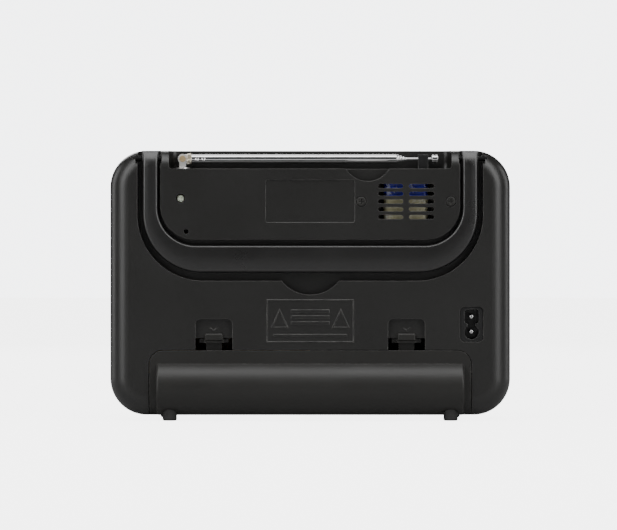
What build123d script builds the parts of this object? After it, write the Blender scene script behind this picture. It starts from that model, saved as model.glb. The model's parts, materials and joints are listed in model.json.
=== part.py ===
from build123d import *
import os
from math import acos, asin, atan2, cos, degrees, hypot, pi, radians, sin, sqrt, tan

# Portable tabletop radio with a fold-down carrying handle, a telescopic aerial that lies in a
# channel along the top of the rear cover, a mains inlet and a bay for round cells.
# Millimetres. +X is the listener's right, -Y is the front, +Y the rear cover, +Z is up.
# The origin is on the table, under the middle of the whole radio.

# ---------------------------------------------------------------- cabinet
cabinet_width = 230.0
cabinet_height = 152.0
corner_radius = 21.0
rear_edge_radius = 11.0
front_edge_radius = 5.0
wall = 2.5
front_half_depth = 22.0
seam_lip_depth = 2.0
seam_lip_wall = 1.2
foot_height = 3.0
knob_proud = 8.0
gap = 0.3                     # between pieces that move past or drop into each other
slip = 0.1                    # between pieces that are pushed together

# ---------------------------------------------------------------- carrying handle
handle_side_margin = 18.7     # cabinet side to the arm's outer face
handle_arm_width = 9.2
handle_thickness = 9.0
handle_drop = 70.1            # top of the cabinet to the grip's lower edge
handle_grip_height = 15.7
handle_outer_radius = 34.0
handle_inner_radius = 21.5
handle_edge_radius = 1.2
handle_pivot_depth = 4.7      # below the top of the cabinet
handle_pin_radius = 1.5
pin_running_gap = 0.06
groove_outer_gap = 2.7
groove_inner_gap = 1.3
groove_below_gap = 4.8
groove_above_gap = 3.1
groove_floor_gap = 1.5
finger_notch_width = 33.0
finger_notch_rise = 8.0
pin_notch_height = 6.0
pin_notch_outer_width = 1.3
pin_notch_inner_width = 0.6
pin_end_wall = 0.6            # left beyond the end of a pin

# ---------------------------------------------------------------- aerial
channel_shoulder = 4.8        # between the handle's groove and the aerial's channel
channel_height = 10.6         # below the top of the cabinet
channel_corner_radius = 1.5
channel_end_radius = 5.0
aerial_side_gap = 0.9         # between the raised handle and the raised aerial
aerial_radii = [2.6, 2.15, 1.7, 1.25, 0.75]
aerial_bore_gap = 0.08
aerial_axis_height = 5.9      # above the channel's floor
aerial_stagger = 1.5          # how far each closed section stands out of the last
aerial_rod_length = 13.0      # bare rod between the nested sections and the tip
aerial_tip_radius = 2.45
aerial_tip_length = 3.8
aerial_tip_gap = 7.3          # tip to the end of the channel
pivot_to_channel_end = 7.6
knuckle_length = 9.0
fork_gap = 2.6
fork_cheek = 0.9
fork_radius = 3.2
rivet_radius = 1.1
clip_length = 5.8
clip_from_tip = 2.0
clip_wall = 1.5
scoop_width = 25.0
scoop_drop = 7.2
scoop_centre_x = -32.9
scoop_depth = 8.0
scoop_wall = 1.8

# ---------------------------------------------------------------- details of the rear cover
label_width = 51.0
label_height = 24.4
label_top = 17.0              # below the top of the cabinet
label_recess = 0.6
vent_rows = 5
vent_pitch = 4.43
vent_length = 14.5
vent_height = 2.4
vent_bridge = 3.2
vent_centre_x = -54.95
vent_centre_drop = 29.4       # below the top of the cabinet
terminal_x = 74.3
terminal_drop = 27.6
terminal_hole_radius = 2.6
trimmer_x = 71.1
trimmer_drop = 46.6
trimmer_hole_radius = 1.45
panel_width = 50.0
panel_height = 24.6
panel_centre_z = 57.1
panel_line = 0.6
panel_relief = 0.35

# ---------------------------------------------------------------- mains inlet
inlet_side_margin = 22.5      # cabinet side to the inlet's centre
inlet_centre_z = 55.2
inlet_width = 13.4
inlet_height = 20.1
inlet_corner = 2.6
inlet_set_back = 1.0
inlet_body_depth = 14.0
inlet_socket_depth = 10.0
inlet_lobe_width = 8.2
inlet_lobe_length = 17.2
inlet_waist = 4.6
inlet_pin_spacing = 8.6
inlet_pin_radius = 1.2
inlet_pin_length = 8.0

# ---------------------------------------------------------------- cells, battery box and door
cell_radius = 13.1
electronics_depth = 21.9      # front of the cabinet to the battery bay
cell_length = 50.0
cells_in_line = 3
cell_gap = 0.5
contact_room = 10.0           # spring and plate at the ends of a row
box_wall = 1.5
box_ear_thickness = 1.8
door_wall = 2.2
door_bulge = 8.0              # how far the door stands behind the rear cover
door_side_margin = 22.8
door_above_bulge = 5.6        # from the bulge's upper edge to the door's
door_corner = 8.0
door_gap = 0.4
door_front_reach = 15.0       # how far the door wraps forward under the cabinet
bulge_margin = 4.1            # door's side to the bulge's end
tongue_width = 12.0
tongue_thickness = 1.6
tongue_reach = 6.0
door_edge_round = 1.2
latch_spacing = 110.4
latch_pocket_width = 21.2
latch_pocket_top = 18.1       # above the door's upper edge
latch_pocket_depth = 3.0
latch_opening = 7.1           # above the door's upper edge
latch_tab_width = 10.9
latch_tab_height = 4.3
latch_bar_width = 16.8
latch_bar_height = 2.4
latch_travel = 2.0
latch_leg_width = 9.0
latch_leg_thickness = 2.0
latch_edge = 0.7
latch_socket_depth = 5.0
latch_socket_wall = 1.8
latch_socket_floor = 1.2
chevron_width = 5.1
chevron_height = 2.2
chevron_line = 0.5
chevron_lift = 3.6            # above the ledge that the latch holds under
rear_foot_radius = 4.1
front_foot_radius = 4.1
foot_side_margin = 34.5
front_foot_inset = 14.0

# ---------------------------------------------------------------- speaker
speaker_margin = 60.0         # cabinet side to the speaker's centre
speaker_centre_z = 66.0
speaker_frame_size = 88.0
speaker_cone_radius = 38.0
speaker_flange_thickness = 1.2
speaker_magnet_radius = 26.0
voice_coil_radius = 10.0
grille_margin = 11.0          # cabinet side to the grille's edge
grille_width = 94.0
grille_corner = 10.0
grille_thickness = 1.0
grille_slot_pitch = 4.6
grille_slot_height = 2.2

# ---------------------------------------------------------------- dial and tuning
dial_margin = 11.0
dial_width = 104.0
dial_height = 31.0
dial_corner = 4.0
lens_thickness = 2.0
lens_ledge = 1.5
scale_thickness = 1.0
pointer_width = 1.2
pointer_rest_share = 0.4      # where the pointer rests along its travel
spindle_radius = 3.0
spindle_margin = 27.0         # cabinet side to the tuning knob's centre
spindle_z = 64.0
tuning_knob_radius = 20.0
drum_radius = 28.0
drum_thickness = 3.6
drum_margin = 63.0
drum_z = 82.0
cord_size = 0.8
guide_radius = 3.0
board_thickness = 1.6
board_set_back = 14.0         # inner front wall to the board

# ---------------------------------------------------------------- small controls
small_knob_radius = 10.0
small_knob_proud = 6.5
volume_margin = 89.0          # cabinet side to the volume knob's centre
tone_margin = 61.0
controls_z = 34.0
pot_radius = 8.0
pot_depth = 8.0
switch_margin = 31.0
band_switch_z = 36.0
power_switch_z = 23.0
switch_width = 18.0
switch_height = 7.0
switch_depth = 8.0
slider_width = 6.0
slider_height = 3.4
slider_travel = 4.0
slider_proud = 2.2
lamp_radius = 1.5
lamp_margin = 17.0
jack_bore_radius = 1.8
jack_length = 14.0
jack_z = 44.0

# ---------------------------------------------------------------- screws
screw_shank_radius = 1.5
screw_head_radius = 2.8
screw_head_height = 2.0
dial_side_screw_margin = 29.0
dial_side_screw_z = 105.0
speaker_side_screw_drop = 27.0
bay_screw_margin = 27.8
bay_screw_z = 12.0
box_screw_margin = 17.0
box_screw_z = 22.0

# ---------------------------------------------------------------- worked out from the above
bay_depth = 4 * cell_radius + 3 * cell_gap
cabinet_depth = electronics_depth + bay_depth + door_wall - door_bulge
front_y = (knob_proud - door_bulge - cabinet_depth) / 2
rear_y = front_y + cabinet_depth
seam_y = front_y + front_half_depth
inner_front_y = front_y + wall
inner_rear_y = rear_y - wall
bottom_z = foot_height
top_z = bottom_z + cabinet_height
middle_z = (bottom_z + top_z) / 2
side_x = cabinet_width / 2

arm_outer_x = side_x - handle_side_margin
arm_inner_x = arm_outer_x - handle_arm_width
arm_x = (arm_outer_x + arm_inner_x) / 2
grip_low_z = top_z - handle_drop
grip_high_z = grip_low_z + handle_grip_height
handle_front_y = rear_y - handle_thickness
pivot_y = rear_y - handle_thickness / 2
pivot_z = top_z - handle_pivot_depth
groove_outer_x = arm_outer_x + groove_outer_gap
groove_inner_x = arm_inner_x - groove_inner_gap
groove_low_z = grip_low_z - groove_below_gap
island_low_z = grip_high_z + groove_above_gap
groove_floor_y = handle_front_y - groove_floor_gap
groove_outer_radius = handle_outer_radius + (groove_outer_gap + groove_below_gap) / 2
island_radius = handle_inner_radius - (groove_inner_gap + groove_above_gap) / 2

channel_end_x = groove_inner_x - channel_shoulder
channel_floor_z = top_z - channel_height
aerial_y = handle_front_y - aerial_side_gap - aerial_radii[0]
aerial_z = channel_floor_z + aerial_axis_height
channel_front_y = aerial_y - aerial_radii[0] - 2.4
aerial_pivot_x = channel_end_x - pivot_to_channel_end
aerial_tip_x = -channel_end_x + aerial_tip_gap

spring_row_length = cells_in_line * cell_length + contact_room
cell_y = rear_y + door_bulge - door_wall - cell_gap - cell_radius
cell_z = bottom_z + door_wall + cell_gap + cell_radius
bulge_radius = cell_radius + cell_gap + door_wall
bay_radius = cell_radius + cell_gap
bay_front_y = front_y + electronics_depth
bay_top_z = cell_z + cell_radius + cell_gap
door_half = side_x - door_side_margin
door_top_z = bottom_z + 2 * bulge_radius + door_above_bulge
door_front_y = rear_y - door_front_reach
bulge_half = door_half - bulge_margin
latch_xs = (latch_spacing / 2, -latch_spacing / 2)
pocket_top_z = door_top_z + latch_pocket_top
ledge_z = door_top_z + latch_opening
pocket_floor_y = rear_y - latch_pocket_depth

inlet_x = inlet_side_margin - side_x
inlet_face_y = rear_y - inlet_set_back
foot_x = side_x - foot_side_margin

speaker_x = speaker_margin - side_x
grille_x = grille_margin + grille_width / 2 - side_x
grille_height = cabinet_height - 2 * grille_margin
dial_x = side_x - dial_margin - dial_width / 2
dial_z = top_z - dial_margin - dial_height / 2
spindle_x = side_x - spindle_margin
drum_x = side_x - drum_margin
volume_x = side_x - volume_margin
tone_x = side_x - tone_margin
switch_x = side_x - switch_margin
lamp_x = side_x - lamp_margin
dial_side_screw_x = side_x - dial_side_screw_margin
bay_screw_x = side_x - bay_screw_margin
box_screw_x = side_x - box_screw_margin
board_front_y = inner_front_y + board_set_back
board_rear_y = board_front_y + board_thickness
board_left_x = dial_x - dial_width / 2
board_right_x = side_x - 9.0
board_low_z = bottom_z + 14.0
board_high_z = top_z - 14.0
cord_front_y = inner_front_y + 6.5
guide_z = top_z - 19.0
guide_xs = (dial_x - dial_width / 2 + 4.0, dial_x + dial_width / 2 - 6.0)
pointer_travel = pi * (drum_radius + cord_size / 2)
box_low_z = bottom_z + wall + slip + seam_lip_wall + gap
box_rear_y = cell_y - gap


# ================================================================ helpers
def prism(sketch, y_low, y_high):
    """A sketch drawn in X and Z, made solid between two depths."""
    plane = Plane(origin=(0, y_high, 0), x_dir=(1, 0, 0), z_dir=(0, -1, 0))
    return extrude(plane * sketch, amount=y_high - y_low)


def beam(sketch, x_low, x_high):
    """A sketch drawn in Y and Z, made solid between two places along X."""
    plane = Plane(origin=(x_low, 0, 0), x_dir=(0, 1, 0), z_dir=(1, 0, 0))
    return extrude(plane * sketch, amount=x_high - x_low)


def block(x_low, x_high, y_low, y_high, z_low, z_high):
    corner = (Align.MIN, Align.MIN, Align.MIN)
    return Pos(x_low, y_low, z_low) * Box(x_high - x_low, y_high - y_low, z_high - z_low, align=corner)


def rod_x(y, z, radius, x_low, x_high):
    return beam(Pos(y, z) * Circle(radius), x_low, x_high)


def rod_y(x, z, radius, y_low, y_high):
    return prism(Pos(x, z) * Circle(radius), y_low, y_high)


def rod_z(x, y, radius, z_low, z_high):
    base = (Align.CENTER, Align.CENTER, Align.MIN)
    return Pos(x, y, z_low) * Cylinder(radius, z_high - z_low, align=base)


def rounded(width, height, radius, x, z):
    return Pos(x, z) * RectangleRounded(width, height, radius)


def cup(half_width, z_low, z_high, radius):
    """An outline with square upper corners and round lower ones."""
    outline = Pos(0, (z_low + z_high) / 2) * Rectangle(2 * half_width, z_high - z_low)
    return fillet(outline.vertices().sort_by(Axis.Y)[:2], radius)


def arch(half_width, z_low, z_high, radius, x=0.0):
    """An outline with square lower corners and round upper ones."""
    outline = Pos(x, (z_low + z_high) / 2) * Rectangle(2 * half_width, z_high - z_low)
    return fillet(outline.vertices().sort_by(Axis.Y)[-2:], radius)


def mirrored_span(side, near, far):
    """Low and high X of a span from near to far, on the side given by its sign."""
    return sorted((side * near, side * far))


def cabinet_block(inset, y_low, y_high, front_round=0.0, rear_round=0.0):
    """The cabinet's rounded outline, drawn in by inset, between two depths."""
    outline = rounded(
        cabinet_width - 2 * inset, cabinet_height - 2 * inset, corner_radius - inset, 0, middle_z
    )
    body = prism(outline, y_low, y_high)
    if front_round:
        body = fillet(body.faces().sort_by(Axis.Y)[0].edges(), front_round)
    if rear_round:
        body = fillet(body.faces().sort_by(Axis.Y)[-1].edges(), rear_round)
    return body


def turned(profile, x, y, z):
    """A profile of (radius, depth) points turned about a line along Y, with depth counted from y."""
    outline = make_face(Polyline(*profile, close=True))
    return Pos(x, y, z) * revolve(outline, Axis.Y)


def both(part):
    """A piece and its mirror image on the other side of the cabinet."""
    return part + mirror(part, Plane.YZ)


def save(name, shape):
    export_step(Compound(children=list(shape.solids())), f"parts/{name}.step")


# ================================================================ cabinet shells
def groove_region(margin=0.0):
    """The handle's U-shaped groove, seen from behind, grown by margin."""
    outside = cup(
        groove_outer_x + margin, groove_low_z - margin, top_z + 20, groove_outer_radius + margin
    )
    island = cup(
        groove_inner_x - margin, island_low_z + margin, top_z + 30, island_radius - margin
    )
    return outside - island


def finger_notch(margin=0.0):
    """Round notch below the grip that lets a finger in under it."""
    half, rise = finger_notch_width / 2, finger_notch_rise
    radius = (half * half + rise * rise) / (2 * rise)
    circle = Pos(0, groove_low_z - rise + radius) * Circle(radius + margin)
    return circle & (Pos(0, groove_low_z - 30) * Rectangle(80, 62))


def scoop(margin=0.0):
    """Round scoop below the aerial that lets a finger lift it."""
    half, drop = scoop_width / 2, scoop_drop
    radius = (half * half + drop * drop) / (2 * drop)
    return Pos(scoop_centre_x, channel_floor_z - drop + radius) * Circle(radius + margin)


def latch_pocket(x, margin=0.0):
    return arch(
        latch_pocket_width / 2 + margin, door_top_z - 10, pocket_top_z + margin, 3.0 + margin, x
    )


def vent_slots():
    rows = []
    for row in range(vent_rows):
        z = top_z - vent_centre_drop + ((vent_rows - 1) / 2 - row) * vent_pitch
        for side in (-1, 1):
            x = vent_centre_x + side * (vent_bridge + vent_length) / 2
            rows.append(Pos(x, z) * SlotOverall(vent_length, vent_height))
    return rows


def warning_panel():
    """Raised frame with two triangles and plain bars, as shallow relief on the cover."""
    frame = Rectangle(panel_width, panel_height) - Rectangle(
        panel_width - 2 * panel_line, panel_height - 2 * panel_line
    )
    relief = [Pos(0, panel_centre_z) * frame]
    side, height = 10.0, 11.0
    for x in (-panel_width / 2 + 7.5, panel_width / 2 - 7.5):
        outer = Polygon((-side / 2, 0), (side / 2, 0), (0, height), align=None)
        inner = Polygon(
            (-side / 2 + 1.1, panel_line), (side / 2 - 1.1, panel_line), (0, height - 1.5), align=None
        )
        relief.append(Pos(x, panel_centre_z - 4.0) * (outer - inner))
    for row in range(3):
        relief.append(Pos(0, panel_centre_z + 5.6 - 3.4 * row) * Rectangle(22.0, 1.8))
    relief.append(Pos(0, panel_centre_z - 8.2) * Rectangle(42.0, 1.2))
    return relief


def door_region(margin=0.0):
    return arch(door_half + margin, bottom_z - 20, door_top_z + margin, door_corner + margin)


def case_screw_places():
    """Two screws under the handle, clear of the dial and the speaker, and two in the cell bay."""
    return [
        (dial_side_screw_x, dial_side_screw_z),
        (-arm_x, top_z - speaker_side_screw_drop),
        (bay_screw_x, bay_screw_z),
        (-bay_screw_x, bay_screw_z),
    ]


def chevron(x):
    """Plain V that points at the latch."""
    half, line = chevron_width / 2, chevron_line
    low = ledge_z + chevron_lift
    outer = Polygon((-half, chevron_height), (0, 0), (half, chevron_height), align=None)
    inner = Polygon(
        (-half + 2 * line, chevron_height), (0, 2 * line), (half - 2 * line, chevron_height), align=None
    )
    return Pos(x, low) * (outer - inner)


def rear_cover():
    outer = cabinet_block(0, seam_y, rear_y, rear_round=rear_edge_radius)
    inner = cabinet_block(wall, seam_y - 1, inner_rear_y, rear_round=rear_edge_radius - wall)

    beyond = rear_y + 20
    channel = prism(
        cup(channel_end_x, channel_floor_z, top_z + 20, channel_corner_radius), channel_front_y, beyond
    )
    plan = cup(channel_end_x, channel_front_y, beyond, channel_end_radius)
    channel = channel & extrude(Plane.XY.offset(channel_floor_z - 1) * plan, amount=top_z)
    outer_cuts = [
        prism(groove_region(), groove_floor_y, beyond),
        channel,
        prism(finger_notch(), groove_floor_y, beyond),
        prism(scoop(), rear_y - scoop_depth, beyond),
        prism(
            rounded(label_width, label_height, 1.0, 0, top_z - label_top - label_height / 2),
            rear_y - label_recess,
            beyond,
        ),
        prism(
            rounded(inlet_width, inlet_height, inlet_corner, inlet_x, inlet_centre_z),
            inner_rear_y - 5,
            beyond,
        ),
        block(-door_half, door_half, door_front_y - door_gap, beyond, bottom_z - 5, bottom_z + 11),
        prism(door_region(door_gap), door_front_y - door_gap, beyond),
        rod_y(terminal_x, top_z - terminal_drop, terminal_hole_radius, inner_rear_y - 5, beyond),
        rod_y(trimmer_x, top_z - trimmer_drop, trimmer_hole_radius, inner_rear_y - 5, beyond),
    ]
    for x in latch_xs:
        outer_cuts.append(prism(latch_pocket(x), pocket_floor_y, beyond))
        low_part = latch_pocket(x) & (Pos(x, ledge_z - 15) * Rectangle(60, 30))
        outer_cuts.append(prism(low_part, pocket_floor_y - 10, beyond))
    for slot in vent_slots():
        outer_cuts.append(prism(slot, inner_rear_y - 5, beyond))
    for x in transformer_screw_xs():
        outer_cuts.append(
            rod_y(x, transformer_z(), screw_head_radius + gap, rear_y - 1.5, beyond)
        )
        outer_cuts.append(rod_y(x, transformer_z(), screw_shank_radius + slip, 0, beyond))

    trough = [
        prism(groove_region(wall), groove_floor_y - wall, beyond),
        block(
            -channel_end_x - wall,
            channel_end_x + wall,
            channel_front_y - wall,
            beyond,
            channel_floor_z - wall,
            top_z + 20,
        ),
        prism(finger_notch(wall), groove_floor_y - wall, beyond),
        prism(scoop(scoop_wall), rear_y - scoop_depth - scoop_wall, beyond),
    ]
    for x in latch_xs:
        trough.append(prism(latch_pocket(x, 1.6), pocket_floor_y - wall, beyond))
    for x, z in case_screw_places():
        trough.append(rod_y(x, z, screw_head_radius + gap + 1.8, seam_y - 2, beyond))
    for x in (-bay_screw_x, bay_screw_x):
        rib_y = seam_y + seam_lip_depth + gap
        trough.append(block(x - 1.0, x + 1.0, rib_y, beyond, bottom_z, bay_screw_z - 3))
    for x in transformer_screw_xs():
        trough.append(rod_y(x, transformer_z(), 3.6, transformer_ear_y(), beyond))
    for x in (-box_screw_x, box_screw_x):
        trough.append(rod_y(x, box_screw_z, 3.6, box_rear_y, beyond))
    cavity = inner
    for solid in trough:
        cavity = cavity - solid

    cover = outer - cavity
    for cut in outer_cuts:
        cover = cover - cut
    for x, z in case_screw_places():
        cover = cover - rod_y(x, z, screw_head_radius + gap, seam_y + 4, beyond)
        cover = cover - rod_y(x, z, screw_shank_radius + slip, seam_y - 3, seam_y + 5)

    for x in (-box_screw_x, box_screw_x):
        cover = cover - rod_y(x, box_screw_z, screw_shank_radius - 0.25, box_rear_y - 1, inner_rear_y)

    # bores for the handle's pins, and the notches in the groove's walls beside them
    for side in (-1, 1):
        low, high = mirrored_span(side, pin_inner_x() - slip, pin_outer_x() + slip)
        cover = cover - rod_x(pivot_y, pivot_z, handle_pin_radius + slip / 2, low, high)
        for near, far in (
            (groove_outer_x - 0.5, groove_outer_x + pin_notch_outer_width),
            (groove_inner_x - pin_notch_inner_width, groove_inner_x + 0.5),
        ):
            low, high = mirrored_span(side, near, far)
            cover = cover - block(
                low, high, pivot_y, beyond, pivot_z - pin_notch_height / 2, pivot_z + pin_notch_height / 2
            )

    relief = [prism(shape, rear_y - 0.5, rear_y + panel_relief) for shape in warning_panel()]
    relief += [prism(chevron(x), pocket_floor_y - 0.5, pocket_floor_y + panel_relief) for x in latch_xs]
    for shape in relief:
        cover = cover + shape
    return cover


def pin_inner_x():
    return groove_inner_x - wall + pin_end_wall


def pin_outer_x():
    return groove_outer_x + wall


def front_openings():
    """Holes through the front wall for the controls, as sketches."""
    holes = [
        Pos(spindle_x, spindle_z) * Circle(spindle_radius + 0.2),
        Pos(volume_x, controls_z) * Circle(4.0),
        Pos(tone_x, controls_z) * Circle(4.0),
        Pos(lamp_x, power_switch_z) * Circle(lamp_radius + slip),
    ]
    for z in (band_switch_z, power_switch_z):
        holes.append(
            Pos(switch_x, z) * Rectangle(slider_width + slider_travel + 2 * gap, slider_height + 2 * gap)
        )
    return holes


def front_cabinet():
    outer = cabinet_block(0, front_y, seam_y, front_round=front_edge_radius)
    inner = cabinet_block(wall, inner_front_y, seam_y + 1, front_round=front_edge_radius - wall)
    body = outer - inner
    lip = cabinet_block(wall + slip, seam_y - 4, seam_y + seam_lip_depth)
    lip = lip - cabinet_block(wall + slip + seam_lip_wall, seam_y - 5, seam_y + 5)
    lip_root = cabinet_block(wall - 0.2, seam_y - 4, seam_y) - cabinet_block(
        wall + slip + seam_lip_wall, seam_y - 5, seam_y + 5
    )
    body = body + lip + lip_root

    for x, z in case_screw_places():
        body = body + rod_y(x, z, 4.0, front_y + 1, seam_y)
        body = body - rod_y(x, z, screw_shank_radius - 0.25, inner_front_y + 2, seam_y + 1)
    for x, z in board_screw_places():
        body = body + rod_y(x, z, 3.2, front_y + 1, board_front_y)
        body = body - rod_y(x, z, screw_shank_radius - 0.25, inner_front_y + 1, board_front_y + 1)
    for x, z in speaker_screw_places():
        body = body + rod_y(x, z, 3.4, front_y + 1, speaker_flange_y())
        body = body - rod_y(x, z, screw_shank_radius - 0.25, inner_front_y - 1, speaker_flange_y() + 1)

    body = body - prism(
        rounded(grille_width, grille_height, grille_corner, grille_x, middle_z),
        front_y - 5,
        front_y + grille_thickness + 0.3,
    )
    body = body - rod_y(speaker_x, speaker_centre_z, speaker_cone_radius + 1, front_y - 5, inner_front_y + 1)
    body = body - prism(
        rounded(dial_width, dial_height, dial_corner, dial_x, dial_z), front_y - 5, front_y + lens_thickness
    )
    body = body - prism(
        rounded(
            dial_width - 2 * lens_ledge,
            dial_height - 2 * lens_ledge,
            dial_corner - lens_ledge,
            dial_x,
            dial_z,
        ),
        front_y - 5,
        inner_front_y + 1,
    )
    for hole in front_openings():
        body = body - prism(hole, front_y - 5, inner_front_y + 1)
    body = body - rod_x(jack_y(), jack_z, jack_nose_radius + slip, side_x - wall - 2, side_x + 5)
    return body


def speaker_grille():
    plate = prism(
        rounded(
            grille_width - 2 * slip, grille_height - 2 * slip, grille_corner - slip, grille_x, middle_z
        ),
        front_y + 0.2,
        front_y + 0.2 + grille_thickness,
    )
    rows = int((grille_height - 16) / grille_slot_pitch)
    for row in range(rows):
        z = middle_z + (row - (rows - 1) / 2) * grille_slot_pitch
        slot = Pos(grille_x, z) * SlotOverall(grille_width - 12, grille_slot_height)
        plate = plate - prism(slot, front_y - 1, front_y + 3)
    return plate


def front_feet():
    y = front_y + front_foot_inset
    foot = rod_z(foot_x + 3.0, y, front_foot_radius, 0, bottom_z)
    foot = chamfer(foot.edges().sort_by(Axis.Z)[0], 0.6)
    return both(foot)


# ================================================================ fasteners

def screw(x, z, head_y, length, reach=1):
    """A pan-head screw along Y with its head's underside at head_y and its shank towards -Y * reach."""
    low, high = sorted((head_y, head_y - reach * length))
    head_low, head_high = sorted((head_y, head_y + reach * screw_head_height))
    shank = rod_y(x, z, screw_shank_radius - 0.3, low, high)
    head = rod_y(x, z, screw_head_radius, head_low, head_high)
    far_face = head.faces().sort_by(Axis.Y)[-1 if reach > 0 else 0]
    head = fillet(far_face.edges(), 0.6)
    cross = Rectangle(3.2, 0.6) + Rectangle(0.6, 3.2)
    slot_low, slot_high = sorted(
        (head_y + reach * (screw_head_height - 0.9), head_y + reach * (screw_head_height + 1))
    )
    return (head + shank) - prism(Pos(x, z) * cross, slot_low, slot_high)


def case_screws():
    parts = [screw(x, z, seam_y + 4, 12.0) for x, z in case_screw_places()]
    seat = rear_y - 1.5
    length = seat - transformer_ear_y() + 3
    parts += [screw(x, transformer_z(), seat, length) for x in transformer_screw_xs()]
    return Compound(children=parts)


def board_screw_places():
    left, right = board_left_x + 6, board_right_x - 3.8
    return [(left, drum_z + 20), (left, board_low_z + 6), (right, drum_z + 8)]


def speaker_screw_places():
    reach = speaker_frame_size / 2 - 6
    return [(speaker_x + a * reach, speaker_centre_z + b * reach) for a in (-1, 1) for b in (-1, 1)]


def speaker_flange_y():
    return inner_front_y + 1.0


def panel_screws():
    parts = [screw(x, z, board_rear_y, 8.0) for x, z in board_screw_places()]
    flange_rear_y = speaker_flange_y() + speaker_flange_thickness
    parts += [screw(x, z, flange_rear_y, 3.0) for x, z in speaker_screw_places()]
    ear_front_y = box_rear_y - box_ear_thickness
    parts += [screw(x, box_screw_z, ear_front_y, 7.0, -1) for x in (-box_screw_x, box_screw_x)]
    return Compound(children=parts)


# ================================================================ carrying handle
def handle():
    outside = cup(arm_outer_x, grip_low_z, pivot_z, handle_outer_radius)
    inside = cup(arm_inner_x, grip_high_z, pivot_z + 1, handle_inner_radius)
    body = prism(outside - inside, handle_front_y, rear_y)
    rear_edges = body.faces().sort_by(Axis.Y)[-1].edges()
    rear_edges = [e for e in rear_edges if e.center().Z < pivot_z - 0.01]
    body = fillet(rear_edges, handle_edge_radius)
    radius = handle_thickness / 2
    for side in (-1, 1):
        low, high = sorted((side * arm_inner_x, side * arm_outer_x))
        root = rod_x(pivot_y, pivot_z, radius, low, high)
        root = chamfer(root.edges().filter_by(GeomType.CIRCLE), 0.6)
        body = body + root
        body = body - rod_x(pivot_y, pivot_z, handle_pin_radius + pin_running_gap, low - 1, high + 1)
    return body


def handle_pins():
    pin = rod_x(pivot_y, pivot_z, handle_pin_radius, pin_inner_x(), pin_outer_x())
    return both(pin)


# ================================================================ battery door
def door_profile(thickness):
    """The door's sheet in Y and Z: down the back and round under the cabinet."""
    radius = rear_edge_radius
    outer = Polyline((rear_y, door_top_z), (rear_y, bottom_z + radius))
    corner = CenterArc((rear_y - radius, bottom_z + radius), radius, 0, -90)
    under = Polyline(
        (rear_y - radius, bottom_z),
        (door_front_y, bottom_z),
        (door_front_y, bottom_z + thickness),
        (rear_y - radius, bottom_z + thickness),
    )
    inner_corner = CenterArc((rear_y - radius, bottom_z + radius), radius - thickness, -90, 90)
    back = Polyline(
        (rear_y - thickness, bottom_z + radius), (rear_y - thickness, door_top_z), (rear_y, door_top_z)
    )
    return make_face(outer + corner + under + inner_corner + back)


def battery_door():
    sheet = beam(door_profile(door_wall), -door_half, door_half)
    sheet = sheet & prism(door_region(), door_front_y - 5, rear_y + 5)
    bulge = rod_x(cell_y, cell_z, bulge_radius, -bulge_half, bulge_half)
    bulge = fillet(bulge.edges().filter_by(GeomType.CIRCLE), door_edge_round)
    bulge = bulge - block(
        -bulge_half - 1, bulge_half + 1, cell_y - 40, cell_y, bottom_z + door_wall, cell_z + 30
    )
    bulge = bulge - block(-bulge_half - 1, bulge_half + 1, cell_y - 40, cell_y - 1, 0, cell_z)
    door = sheet + bulge
    inner_half = bulge_half - door_wall
    door = door - rod_x(cell_y, cell_z, bay_radius, -inner_half, inner_half)
    for x in (-door_half * 0.62, 0.0, door_half * 0.62):
        z = bottom_z + wall + 0.25
        door = door + block(
            x - tongue_width / 2,
            x + tongue_width / 2,
            door_front_y - tongue_reach,
            door_front_y + 2.5,
            z,
            z + tongue_thickness,
        )
        door = door + block(
            x - tongue_width / 2, x + tongue_width / 2, door_front_y, door_front_y + 2.5, bottom_z + 1, z + 1
        )
    for x in latch_xs:
        door = door + latch_guide(x)
    return door


def latch_guide(x):
    """Socket on the inside of the door that the latch's leg slides in."""
    half, z_low = latch_leg_width / 2, door_top_z - latch_socket_depth
    y_low, y_high = leg_ys()
    shell = block(
        x - half - latch_socket_wall,
        x + half + latch_socket_wall,
        y_low - latch_socket_wall,
        rear_y - door_wall / 2,
        z_low,
        door_top_z - door_gap,
    )
    return shell - block(
        x - half - gap, x + half + gap, y_low - gap, y_high + gap, z_low + latch_socket_floor, door_top_z + 5
    )


def leg_ys():
    high = pocket_floor_y - wall - gap
    return high - latch_leg_thickness, high


def battery_latch(x):
    """Sprung latch: a leg in the door's socket, a cross bar under the ledge and a thumb tab."""
    y_low, y_high = leg_ys()
    bar_high = ledge_z - gap
    bar_low = bar_high - latch_bar_height
    tab_low = bar_low + 1.1
    tab_high = tab_low + latch_tab_height
    tab_y = rear_y - 2 * door_gap
    half, leg_half, bar_half = latch_tab_width / 2, latch_leg_width / 2, latch_bar_width / 2
    leg_low = door_top_z - latch_socket_depth + latch_socket_floor + latch_travel + gap
    leg = block(x - leg_half, x + leg_half, y_low, y_high, leg_low, bar_low + 1)
    bar = block(x - bar_half, x + bar_half, y_low, pocket_floor_y - 1.0, bar_low, bar_high)
    neck = block(x - half, x + half, y_low, tab_y - 1.0, bar_low, bar_high)
    tab = block(x - half, x + half, pocket_floor_y + panel_relief + gap, tab_y, tab_low, tab_high)
    tab = chamfer(tab.edges().filter_by(Axis.Y).sort_by(Axis.Z)[-2:], 0.9)
    tab = chamfer(tab.faces().sort_by(Axis.Y)[-1].edges(), latch_edge)
    return leg + bar + neck + tab


def rear_feet():
    y = cell_y + 5.8
    foot = rod_z(foot_x, y, rear_foot_radius, 0, cell_z)
    foot = chamfer(foot.edges().sort_by(Axis.Z)[0], 0.6)
    foot = foot - rod_x(cell_y, cell_z, bulge_radius, 0, side_x)
    return both(foot)


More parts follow.
